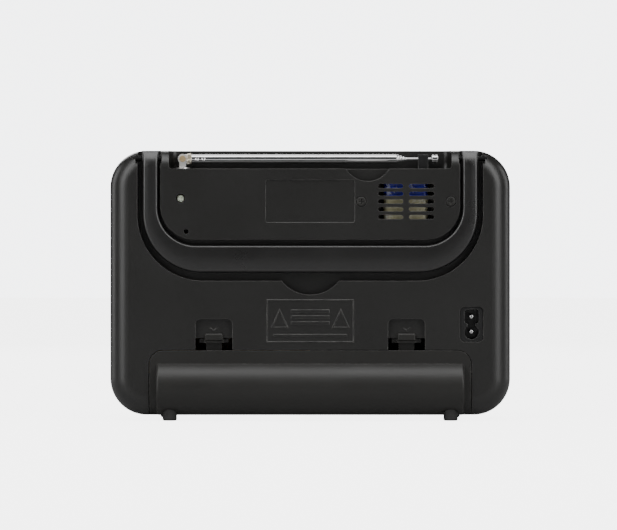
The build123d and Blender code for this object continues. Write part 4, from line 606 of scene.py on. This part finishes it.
aerialShape = {
    "wall": 0.25 * mm, "swage": 0.05 * mm, "swageLength": 0.2 * mm, "endRound": 0.12 * mm,
    "waistDepth": 0.21 * mm, "waistPlace": 0.45 * mm, "waistHalf": 0.36 * mm, "dimpleRadius": 0.95 * mm,
    "dimpleDepth": 0.4 * mm, "dimples": (8.3 * mm, 12.0 * mm), "dimpledLength": 16 * mm, "around": 72,
    "lipSteps": 5, "swageSteps": 9, "waistSteps": 14, "plainSteps": 12, "dimpledSteps": 110,
}
tipShape = {
    "length": 3.8 * mm, "domeRound": 0.5 * mm, "grooveStart": 1.7 * mm, "grooveEnd": 2.1 * mm,
    "grooveDepth": 0.22 * mm, "grooveSlope": 0.2 * mm, "shoulderRound": 0.4 * mm, "shoulderSide": 0.1 * mm,
    "collar": 0.3 * mm, "collarSlope": 0.25 * mm, "rodRadius": 0.75 * mm, "stopRadius": 0.8 * mm,
    "stopLength": 5.9 * mm, "stopSlope": 0.1 * mm,
}
knuckleShape = {
    "ringStart": 2.4 * mm, "ringEnd": 5.1 * mm, "ringRadius": 2.95 * mm, "ringEdge": 0.3 * mm,
    "ringSteps": 12, "bore": 1.2 * mm, "knurls": 40, "knurlDepth": 0.22 * mm, "knurlSteps": 6,
    "eyeRadius": 2.6 * mm, "eyeThickness": 2.3 * mm, "eyeReach": 3.2 * mm, "eyeChamfer": 0.2 * mm,
    "eyeSteps": 25, "hair": 0.01 * mm,
}
pivotX = extent("aerial_rivet")[2][0]


def makeAerialTube(index, shape):
    # a drawn tube: its lip is rounded, a small swage widens to the full radius, and a narrow ring is drawn in
    node = f"aerial_section_{index}"
    low, high, middle = extent(node)
    radius = (high[2] - low[2]) / 2
    bore = radius - shape["wall"]
    start, end = low[0], pivotX - knuckleShape["ringEnd"] if index == 1 else high[0]
    swage, ends = shape["swage"], shape["endRound"]
    lip = arc(radius - swage - ends, start + ends, ends, 270, 360, shape["lipSteps"])
    steps = np.linspace(0, 1, shape["swageSteps"])
    swaged = np.stack([radius - swage * (0.5 + 0.5 * np.cos(np.pi * steps)),
                       start + ends + shape["swageLength"] * steps], 1)
    waistStart = swaged[-1, 1]
    waistEnd, dimpledStart = waistStart + 2 * shape["waistPlace"], end - shape["dimpledLength"]
    along = np.concatenate([
        np.linspace(waistStart, waistEnd, shape["waistSteps"])[1:],
        np.linspace(waistEnd, dimpledStart, shape["plainSteps"])[1:],
        np.linspace(dimpledStart, end - ends, shape["dimpledSteps"])[1:]])
    fromWaist = np.abs(along - waistStart - shape["waistPlace"])
    outside = radius - shape["waistDepth"] * np.clip(1 - fromWaist / shape["waistHalf"], 0, 1)
    inside = np.array([
        [radius - ends, end], [bore, end], [bore, start + 2 * shape["swageLength"]],
        [bore - swage, start + ends], [bore - swage, start]])
    profile = np.concatenate([lip, swaged, np.stack([outside, along], 1), inside])

    def dent(profileRadius, along, angle):
        # shallow round dimples, pressed in on the rear side: a bowl in the distance over the tube's surface
        turn = (angle + np.pi) % (2 * np.pi) - np.pi
        total = 0 * along * angle
        for fromPivot in shape["dimples"]:
            apart = np.hypot(along - pivotX + fromPivot, radius * turn)
            bowl = np.clip(1 - (apart / shape["dimpleRadius"]) ** 2, 0, 1)
            total -= np.where(profileRadius > bore * 1.01, shape["dimpleDepth"] * bowl, 0)
        return total

    piece = turnedPiece(f"aerialTube{index}", profile, middle, "x", shape["around"],
                        "aerial_tube" if index == 1 else f"aerial_tube_{index}", "chromePlate",
                        ripple=dent if index == 1 else None)
    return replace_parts(piece, node)


def makeAerialTip(shape):
    # the thin rod with its turned tip: a groove, a domed end and a stop that keeps it in the last tube
    node = "aerial_section_5"
    low, high, middle = extent(node)
    start, end, tip, rod = low[0], high[0], (high[2] - low[2]) / 2, shape["rodRadius"]
    tipEnd, stopStart = start + shape["length"], end - shape["stopLength"]
    dome, shoulder = shape["domeRound"], shape["shoulderRound"]
    grooveStart, grooveEnd = start + shape["grooveStart"], start + shape["grooveEnd"]
    floor, slope = tip - shape["grooveDepth"], shape["grooveSlope"]
    profile = np.concatenate([
        [[nearAxis, start]],
        arc(tip - dome, start + dome, dome, 270, 360, 7),
        [[tip, grooveStart - slope], [floor, grooveStart], [floor, grooveEnd], [tip, grooveEnd + slope],
         [tip, tipEnd - shoulder - shape["shoulderSide"]]],
        arc(tip - shoulder, tipEnd - shoulder, shoulder, 0, 90, 5),
        [[rod + shape["collar"], tipEnd], [rod, tipEnd + shape["collarSlope"]],
         [rod, stopStart - shape["stopSlope"]], [shape["stopRadius"], stopStart], [shape["stopRadius"], end],
         [nearAxis, end]]])
    piece = turnedPiece("aerialRodAndTip", profile, middle, "x", aerialShape["around"],
                        "aerial_tube_5", "chromePlate", closed=False)
    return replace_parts(piece, node)


def makeAerialRing(shape):
    # a knurled ring, whose radius ripples with the angle
    middle = extent("aerial_rivet")[2]
    start, end = middle[0] - shape["ringStart"], middle[0] - shape["ringEnd"]
    radius, edge, bore, count = shape["ringRadius"], shape["ringEdge"], shape["bore"], shape["ringSteps"]
    profile = np.concatenate([
        [[bore, end], [radius - edge, end]],
        np.stack([np.full(count, radius), np.linspace(end + edge, start - edge, count)], 1),
        [[radius - edge, start], [bore, start]]])

    def knurl(profileRadius, along, angle):
        outside = (profileRadius > radius - shape["hair"]).astype(float)
        return -shape["knurlDepth"] * outside * (0.5 + 0.5 * np.cos(angle * shape["knurls"]))

    piece = turnedPiece("aerialRing", profile, middle, "x",
                        shape["knurls"] * shape["knurlSteps"], "aerial_tube", "brushedSteel",
                        ripple=knurl, smoothAngle=60.0)
    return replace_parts(piece, "aerial_knuckle")


def makeAerialEye(shape):
    # a flat eye round the rivet: half a circle on the free side, and squared off where it meets the ring
    middle = extent("aerial_rivet")[2]
    half, radius, chamfer = shape["eyeThickness"] / 2, shape["eyeRadius"], shape["eyeChamfer"]
    count = shape["eyeSteps"]
    angle = np.radians(np.concatenate([np.linspace(-90, 90, count), np.linspace(90, 270, count)]))
    circle = np.stack([np.cos(angle), np.sin(angle)], 1)
    inner, outline = shape["bore"] * circle, radius * circle
    squared = np.abs(outline[count:, 1]) < radius - shape["hair"]
    outline[count:, 0] = np.where(squared, -shape["eyeReach"], outline[count:, 0])
    eased = outline * (1 - chamfer / radius)
    loops = ((inner, half), (eased, half), (outline, half - chamfer),
             (outline, chamfer - half), (eased, -half), (inner, -half))
    grid = np.stack([np.insert(loop, 1, depth, axis=1) for loop, depth in loops]) + middle
    return gridPiece("aerialEye", grid, "aerial_tube", "satinPlate", closedRows=True)


for index in range(1, 5):
    makeAerialTube(index, aerialShape)
makeAerialTip(tipShape)
makeAerialRing(knuckleShape)
makeAerialEye(knuckleShape)
print("stage: aerial made")


# ---- terminal screw

screwShape = {
    "headShare": 0.9, "dome": 0.45 * mm, "slotHalf": 0.28 * mm, "slotReach": 1.35 * mm,
    "slotDepth": 0.75 * mm, "slotEase": 0.12 * mm, "slotWall": 0.14 * mm, "slotEnd": 0.35 * mm,
    "slotTilt": 27, "lineShare": 0.8, "lineHalf": 0.12 * mm, "lineDepth": 0.12 * mm, "firstShare": 0.0005,
    "rings": 56, "around": 144, "firstAngle": 18,
    "side": ((0.0, 0.5 * mm), (0.0, 1.6 * mm), (0.7 * mm, 1.65 * mm)), "endGap": 1 * mm,
}


def makeTerminalScrew(shape):
    # a domed head: its height falls with the square of the radius, and a cross is sunk into it where the
    # point is near one of two crossing lines and within their reach; its side is rings, each with an inset
    # and a depth
    low, high, centre = extent("terminal_screw")
    radius = shape["headShare"] * (high[2] - low[2]) / 2
    share = np.linspace(shape["firstShare"], 1, shape["rings"])[:, None]
    angle = np.radians(shape["firstAngle"] + np.linspace(0, 360, shape["around"], endpoint=False))
    x, z = radius * share * np.cos(angle), radius * share * np.sin(angle)
    tilt = np.radians(shape["slotTilt"])
    u, v = x * np.cos(tilt) + z * np.sin(tilt), -x * np.sin(tilt) + z * np.cos(tilt)

    def sunk(across, along):
        wall = np.clip((shape["slotHalf"] + shape["slotEase"] - np.abs(across)) / shape["slotWall"], 0, 1)
        return wall * np.clip((shape["slotReach"] - np.abs(along)) / shape["slotEnd"], 0, 1)

    cross = np.maximum(sunk(u, v), sunk(v, u))
    line = np.clip(1 - np.abs(np.hypot(x, z) - shape["lineShare"] * radius) / shape["lineHalf"], 0, 1)
    fall = shape["dome"] * share ** 2 + shape["slotDepth"] * cross + shape["lineDepth"] * line
    side = (*shape["side"], (shape["side"][-1][0], high[1] - low[1] - shape["endGap"]))
    inset, depth = np.array(side).T[:, :, None]
    scale = 1 - inset / radius
    grid = np.stack([
        centre[0] + np.concatenate([x, x[-1] * scale]),
        high[1] - np.concatenate([fall, depth + shape["dome"] + 0 * angle]),
        centre[2] + np.concatenate([z, z[-1] * scale])], 2)
    piece = gridPiece("terminalScrewHead", grid, "body", "terminalPlate")
    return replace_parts(piece, "terminal_screw")


makeTerminalScrew(screwShape)
print("stage: terminal screw made")


# ---- knobs

knobShape = {
    "bevel": 1.3 * mm, "skirt": 1.2 * mm, "sideInset": 0.6 * mm, "dish": 0.5 * mm, "capInset": 2.6 * mm,
    "lip": 0.3 * mm, "lipDrop": 0.05 * mm, "skirtStep": 0.1 * mm, "skirtRound": 0.25 * mm,
    "footRound": 0.2 * mm, "ribDepth": 0.35 * mm, "ribStart": 0.6 * mm, "ribFadeIn": 1.2 * mm,
    "ribStop": 0.3 * mm, "ribFadeOut": 0.8 * mm, "ribPower": 0.7, "ribSteps": 8, "shoulderShare": 0.6,
    "dishSteps": 14, "shoulderSteps": 10, "sideSteps": 16,
}
knobLineShape = {"halfWidth": 0.35 * mm, "inner": 0.42, "outer": 0.80, "sunk": 0.02 * mm, "foot": 0.45 * mm,
                 "steps": 12}
knobTable = (
    # node, body, ribs, radius, height and the name that its pieces start with
    ("tuning_knob", "tuning_knob_body", 60, 20 * mm, 7.7 * mm, "tuningKnob"),
    ("volume_knob", "volume_body", 36, 10 * mm, 6.2 * mm, "volumeKnob"),
    ("tone_knob", "tone_body", 36, 10 * mm, 6.2 * mm, "toneKnob"),
)


def makeKnob(name, node, body, ribCount, radius, height, shape):
    # a turned cap: flat skirt, ribbed side, rounded shoulder and a dished face; the ribs are a rounded wave
    # of the angle that fades in and out along the side
    low, high, centre = extent(node)
    frontY, rearY = low[1], low[1] + height
    bevel, seam = shape["bevel"], rearY - shape["skirt"]
    inner = radius - shape["sideInset"]
    faceRadius = inner - bevel - shape["capInset"]
    dishSteps = np.linspace(0, 1, shape["dishSteps"])
    sideY = np.linspace(frontY + bevel, seam, shape["sideSteps"])[1:]
    skirtRound, footRound = shape["skirtRound"], shape["footRound"]
    profile = np.concatenate([
        np.stack([faceRadius * dishSteps + nearAxis, frontY + shape["dish"] * (1 - dishSteps ** 2)], 1),
        [[faceRadius + shape["lip"], frontY + shape["lipDrop"]]],
        arc(inner - bevel, frontY + bevel, bevel, 270, 360, shape["shoulderSteps"]),
        np.stack([np.full(len(sideY), inner), sideY], 1),
        [[radius - skirtRound, seam + shape["skirtStep"]], [radius, seam + shape["skirtStep"] + skirtRound],
         [radius, rearY - footRound], [radius - footRound, rearY], [nearAxis, rearY]]])

    def ribs(profileRadius, along, angle):
        fade = np.clip((along - frontY - shape["ribStart"]) / shape["ribFadeIn"], 0, 1)
        fade = fade * np.clip((seam - shape["ribStop"] - along) / shape["ribFadeOut"], 0, 1)
        onSide = (profileRadius > inner - bevel * shape["shoulderShare"]).astype(float)
        wave = np.abs(np.cos(angle * ribCount / 2)) ** shape["ribPower"]
        return -shape["ribDepth"] * (1 - wave) * fade * onSide

    piece = turnedPiece(name, profile, centre, "y", ribCount * shape["ribSteps"], body,
                        "knobPlastic", closed=False, ripple=ribs, smoothAngle=38.0)
    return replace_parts(piece, node)


def makeKnobLine(name, node, body, radius, shape):
    # the white line that shows where a knob points: a thin raised bar with rounded ends
    low, high, centre = extent(node)
    top = np.concatenate([
        arc(0, radius * shape["outer"], shape["halfWidth"], 0, 180, shape["steps"]),
        arc(0, radius * shape["inner"], shape["halfWidth"], 180, 360, shape["steps"])])
    levels = low[1] + np.array([shape["sunk"], shape["foot"]])
    grid = np.stack([np.insert(top, 1, 0, axis=1)] * 2) + np.array([centre[0], 0, centre[2]])
    grid[..., 1] = levels[:, None]
    return gridPiece(name, grid, body, "scaleInk")


for node, body, ribCount, radius, height, name in knobTable:
    makeKnob(name + "Cap", node, body, ribCount, radius, height, knobShape)
    makeKnobLine(name + "Line", node, body, radius, knobLineShape)
print("stage: knobs made")


# ---- speaker cone and surround

coneShape = {
    "ribs": 7, "ribHeight": 0.22 * mm, "thickness": 0.45 * mm, "depth": 11.4 * mm, "power": 0.82,
    "capRadius": 10.2 * mm, "capFront": 6.9 * mm, "capDome": 4.6 * mm, "capCentre": 0.002,
    "formerInner": 10.0 * mm, "formerOuter": 10.6 * mm, "formerInnerStart": 12.0 * mm,
    "formerOuterStart": 12.4 * mm, "around": 120, "steps": 90, "capSteps": 24, "edgeFade": 4, "capFade": 8,
}
surroundShape = {"width": 4.0 * mm, "thickness": 0.35 * mm, "frontGap": 0.5 * mm, "around": 120, "steps": 25}


def makeCone(shape):
    # a shallow cone whose depth is a power of the radius, with ring ribs, a domed cap in its middle and a
    # coil former behind; the wall is given by the same curve moved back by its thickness
    low, high, centre = extent("speaker_cone")
    outer, frontY = (high[2] - low[2]) / 2, low[1]
    share = np.linspace(1, 0, shape["steps"])
    radius = shape["capRadius"] + (outer - shape["capRadius"]) * share
    fade = np.clip(share * shape["edgeFade"], 0, 1) * np.clip((1 - share) * shape["capFade"], 0, 1)
    rings = shape["ribHeight"] * np.abs(np.sin(share * shape["ribs"] * 2 * np.pi) * fade)
    front = np.stack([radius, frontY + shape["depth"] * (1 - share) ** shape["power"] + rings], 1)
    capShare = np.linspace(1, shape["capCentre"], shape["capSteps"])
    cap = np.stack([shape["capRadius"] * capShare,
                    frontY + shape["capFront"] + shape["capDome"] * capShare ** 2], 1)
    former = np.array([
        [shape["formerInner"], frontY + shape["formerInnerStart"]], [shape["formerInner"], high[1]],
        [shape["formerOuter"], high[1]], [shape["formerOuter"], frontY + shape["formerOuterStart"]]])
    behind = np.array([0, shape["thickness"]])
    profile = np.concatenate([front, cap, cap[::-1] + behind, former, front[-2::-1] + behind])
    piece = turnedPiece("speakerCone", profile, centre, "y", shape["around"], "cone_body",
                        "conePaper", smoothAngle=50.0)
    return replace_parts(piece, "speaker_cone")


def makeSurround(shape):
    # a half-round roll between the cone and the frame: a half circle carried round the speaker's axis
    low, high, centre = extent("speaker_surround")
    half = shape["width"] / 2
    middle = (high[2] - low[2]) / 2 - half
    rise = high[1] - low[1] - shape["frontGap"]
    angle = np.radians(np.linspace(0, 180, shape["steps"]))
    back = np.stack([middle + half * np.cos(angle), high[1] - rise * np.sin(angle)], 1)
    profile = np.concatenate([back - np.array([0, shape["thickness"]]), back[::-1]])
    piece = turnedPiece("speakerRoll", profile, centre, "y", shape["around"], "body",
                        "footRubber")
    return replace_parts(piece, "speaker_surround")


makeCone(coneShape)
makeSurround(surroundShape)
print("stage: speaker made")


# ---- dial markings, with plain numbers only

dialShape = {
    "upper": ("88", "92", "96", "100", "104", "108"), "lower": ("54", "70", "90", "110", "130", "160"),
    "textSize": 4.2 * mm, "textHeight": 7.6 * mm, "thickness": 0.05 * mm, "sunk": 0.005 * mm,
    "margin": 8 * mm, "ticks": 50, "tickBase": 2.2 * mm, "tickHalf": 0.11 * mm, "lineHalf": 0.12 * mm,
    "longTick": 2.6 * mm, "middleTick": 1.8 * mm, "shortTick": 1.1 * mm,
}


def makeDialTicks(shape, left, right, middleZ, y0, y1):
    # rows of upright ticks over and under the middle, each row on a base line: all are bars with eight
    # corners and six faces
    step = np.arange(shape["ticks"] + 1)
    tall = np.where(step % 5 == 0, shape["middleTick"], shape["shortTick"])
    tall = np.where(step % 10 == 0, shape["longTick"], tall)
    x = left + (right - left) * step / shape["ticks"]
    bars = []
    for side in (-1, 1):
        z = middleZ + side * shape["tickBase"] + 0 * x
        bars.append(np.stack([x - shape["tickHalf"], x + shape["tickHalf"], z, z + side * tall], 1))
        bars.append([[left, right, z[0] - shape["lineHalf"], z[0] + shape["lineHalf"]]])
    bars = np.concatenate(bars)
    bars[:, 2:] = np.sort(bars[:, 2:], axis=1)
    which = np.array([[i, j, k] for i in (0, 1) for j in (0, 1) for k in (0, 1)])
    points = np.stack([bars[:, which[:, 0]], np.array([y0, y1])[which[:, 1]] + 0 * bars[:, :1],
                       bars[:, 2 + which[:, 2]]], 2)
    sides = np.array([[0, 1, 3, 2], [4, 6, 7, 5], [0, 4, 5, 1], [2, 3, 7, 6], [0, 2, 6, 4], [1, 5, 7, 3]])
    faces = sides + 8 * np.arange(len(bars))[:, None, None]
    newPiece("dialTicks", points.reshape(-1, 3), faces.reshape(-1, 4).tolist(), "body",
             "scaleInk")


def makeDialNumber(name, label, shape, place, ink):
    # a flat number, turned into a mesh before its place is applied to its points
    curve = bpy.data.curves.new("number", "FONT")
    curve.body, curve.size, curve.align_x, curve.align_y = label, shape["textSize"], "CENTER", "CENTER"
    curve.extrude = shape["thickness"] / 2
    holder = addObject("number", curve)
    bpy.context.view_layer.update()
    mesh = bpy.data.meshes.new_from_object(holder.evaluated_get(bpy.context.evaluated_depsgraph_get()))
    bpy.data.objects.remove(holder)
    bpy.data.curves.remove(curve)
    flat = np.zeros(len(mesh.vertices) * 3)
    mesh.vertices.foreach_get("co", flat)
    flat = flat.reshape(-1, 3)
    moved = np.stack([flat[:, 0], -flat[:, 2], flat[:, 1]], 1) + np.array(place)
    mesh.vertices.foreach_set("co", moved.ravel())
    mesh.update()
    piece = addObject(name, mesh)
    mesh.materials.clear()
    mesh.materials.append(bpy.data.materials[ink])
    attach(piece, "body")


def makeDialPrint(shape):
    low, high, middle = extent("dial_scale")
    y1 = low[1] + shape["sunk"]
    y0 = y1 - shape["thickness"]
    left, right = low[0] + shape["margin"], high[0] - shape["margin"]
    makeDialTicks(shape, left, right, middle[2], y0, y1)
    rows = ((shape["upper"], 1, "scaleInk"), (shape["lower"], -1, "accentInk"))
    for row, (labels, side, ink) in enumerate(rows):
        for step, label in enumerate(labels):
            place = (left + (right - left) * step / (len(labels) - 1), (y0 + y1) / 2,
                     middle[2] + side * shape["textHeight"])
            makeDialNumber(f"dialNumber{row}_{step}", label, shape, place, ink)


makeDialPrint(dialShape)
print("stage: dial made")


# ---- studio

studio = {
    "floorRadius": 9.0, "floorCentre": 0.001, "floorStart": 0.1, "floorRings": 24, "floorAround": 96,
    "floorDrop": 0.0002, "pale": 5.2, "floorShare": 0.9, "paper": 0.42, "paperSpread": 1.04, "mottle": 3.0,
    "roomLight": 0.04, "roomTop": 2.2, "topFrom": 0.94, "topFull": 0.985, "lowGlow": 0.05, "lowReach": 0.16,
}
softboxTable = (
    # name, place, the point that it faces, width and height, watts
    ("topBox", (0, 0.64, 1.5), (0, 0.1, 0.1), (1.9, 0.74), 17.0),
    ("leftStrip", (1.15, 1.20, 0.70), (0, 0, 0.09), (0.80, 1.9), 19.5),
    ("rightStrip", (-1.15, 1.20, 0.70), (0, 0, 0.09), (0.80, 1.9), 19.5),
    ("leftRim", (1.55, -0.45, 0.45), (0, 0, 0.09), (0.60, 1.4), 7.0),
    ("rightRim", (-1.55, -0.45, 0.45), (0, 0, 0.09), (0.60, 1.4), 6.0),
    ("frontStrip", (0.3, -1.8, 1.0), (0, 0, 0.08), (1.2, 0.8), 16.0),
)


def makeFloor(look):
    # a wide round sheet: rings of growing radius about the vertical; it glows to the lens, so that it meets
    # the pale surroundings without a line, and a little to glossy rays close to the radio
    outer = np.geomspace(look["floorStart"], look["floorRadius"], look["floorRings"])
    radius = np.concatenate([[look["floorCentre"]], outer])
    profile = np.stack([radius, 0 * radius - look["floorDrop"]], 1)
    grid = turnedGrid(profile, (0, 0, 0), "z", look["floorAround"])
    mesh = bpy.data.meshes.new("studioFloor")
    faces = gridFaces(*grid.shape[:2], False)
    mesh.from_pydata(grid.reshape(-1, 3).tolist(), [], faces.tolist())
    sheet = addObject("studioFloor", mesh)
    made = bpy.data.materials.new("studioPaper")
    made.use_nodes = True
    tree = made.node_tree
    tree.nodes.clear()
    place = addNode(tree, "TexCoord").outputs["Object"]
    ray = addNode(tree, "LightPath").outputs
    paper = blendColour(tree, noise(tree, place, look["mottle"]), grey(look["paper"]),
                        grey(look["paper"] * look["paperSpread"]))
    matt = addNode(tree, "BsdfDiffuse", {"Color": paper})
    apart = addNode(tree, "VectorMath", {0: place}, operation="LENGTH").outputs["Value"]
    near = spread(tree, apart, look["lowReach"], look["lowReach"] / 2)
    mirrored = maths(tree, "MULTIPLY", ray["Is Glossy Ray"], near)
    seen = maths(tree, "MULTIPLY", ray["Is Camera Ray"], look["pale"] * look["floorShare"])
    strength = maths(tree, "MULTIPLY_ADD", mirrored, look["lowGlow"], seen)
    glow = addNode(tree, "Emission", {"Color": grey(1), "Strength": strength})
    both = addNode(tree, "AddShader", {0: matt.outputs[0], 1: glow.outputs[0]})
    addNode(tree, "OutputMaterial", {"Surface": both.outputs[0]})
    mesh.materials.append(made)


def softbox(name, place, aim, size, power):
    lamp = bpy.data.lights.new(name, "AREA")
    lamp.shape, lamp.size, lamp.size_y, lamp.energy = "RECTANGLE", size[0], size[1], power
    holder = addObject(name, lamp)
    holder.location = place
    away = Vector(place) - Vector(aim)
    holder.rotation_mode = "QUATERNION"
    holder.rotation_quaternion = away.to_track_quat("Z", "Y")
    holder.visible_camera = False


def makeLights(look):
    # broad light from above, a strip to each side behind the radio, one beyond each end for its rim, and one
    # for its dial side, in a dim room that is brighter overhead and pale to the lens
    for row in softboxTable:
        softbox(*row)
    world = bpy.data.worlds.new("studioAir")
    bpy.context.scene.world = world
    world.use_nodes = True
    tree = world.node_tree
    direction = addNode(tree, "SeparateXYZ", {0: addNode(tree, "TexCoord").outputs["Generated"]})
    overhead = addNode(tree, "MapRange", {
        0: direction.outputs["Z"], 1: look["topFrom"], 2: look["topFull"], 3: look["roomLight"],
        4: look["roomTop"]}, interpolation_type="SMOOTHSTEP").outputs[0]
    seen = addNode(tree, "LightPath").outputs["Is Camera Ray"]
    background = tree.nodes["Background"]
    background.inputs["Color"].default_value = rgb(0.97, 0.98, 1.0)
    tree.links.new(blendValue(tree, seen, overhead, look["pale"]), background.inputs["Strength"])


camera = {
    "viewWidth": 354.775 * mm, "viewDepth": 26.0 * mm, "centreX": 0.98 * mm, "centreZ": 89.2 * mm,
    "distance": 2.4, "sensor": 36.0, "nearest": 0.1, "furthest": 30.0,
}


def makeCamera(look):
    # behind the radio, level, with a long lens that takes in the view's width a little in front of the rear
    # cover's face
    lens = bpy.data.cameras.new("studioCamera")
    lens.sensor_width = look["sensor"]
    lens.lens = look["sensor"] * look["distance"] / look["viewWidth"]
    lens.clip_start, lens.clip_end = look["nearest"], look["furthest"]
    holder = addObject("studioCamera", lens)
    holder.location = (look["centreX"], look["viewDepth"] + look["distance"], look["centreZ"])
    holder.rotation_euler = (math.pi / 2, 0, math.pi)
    bpy.context.scene.camera = holder


makeFloor(studio)
makeLights(studio)
makeCamera(camera)
print("stage: studio made")
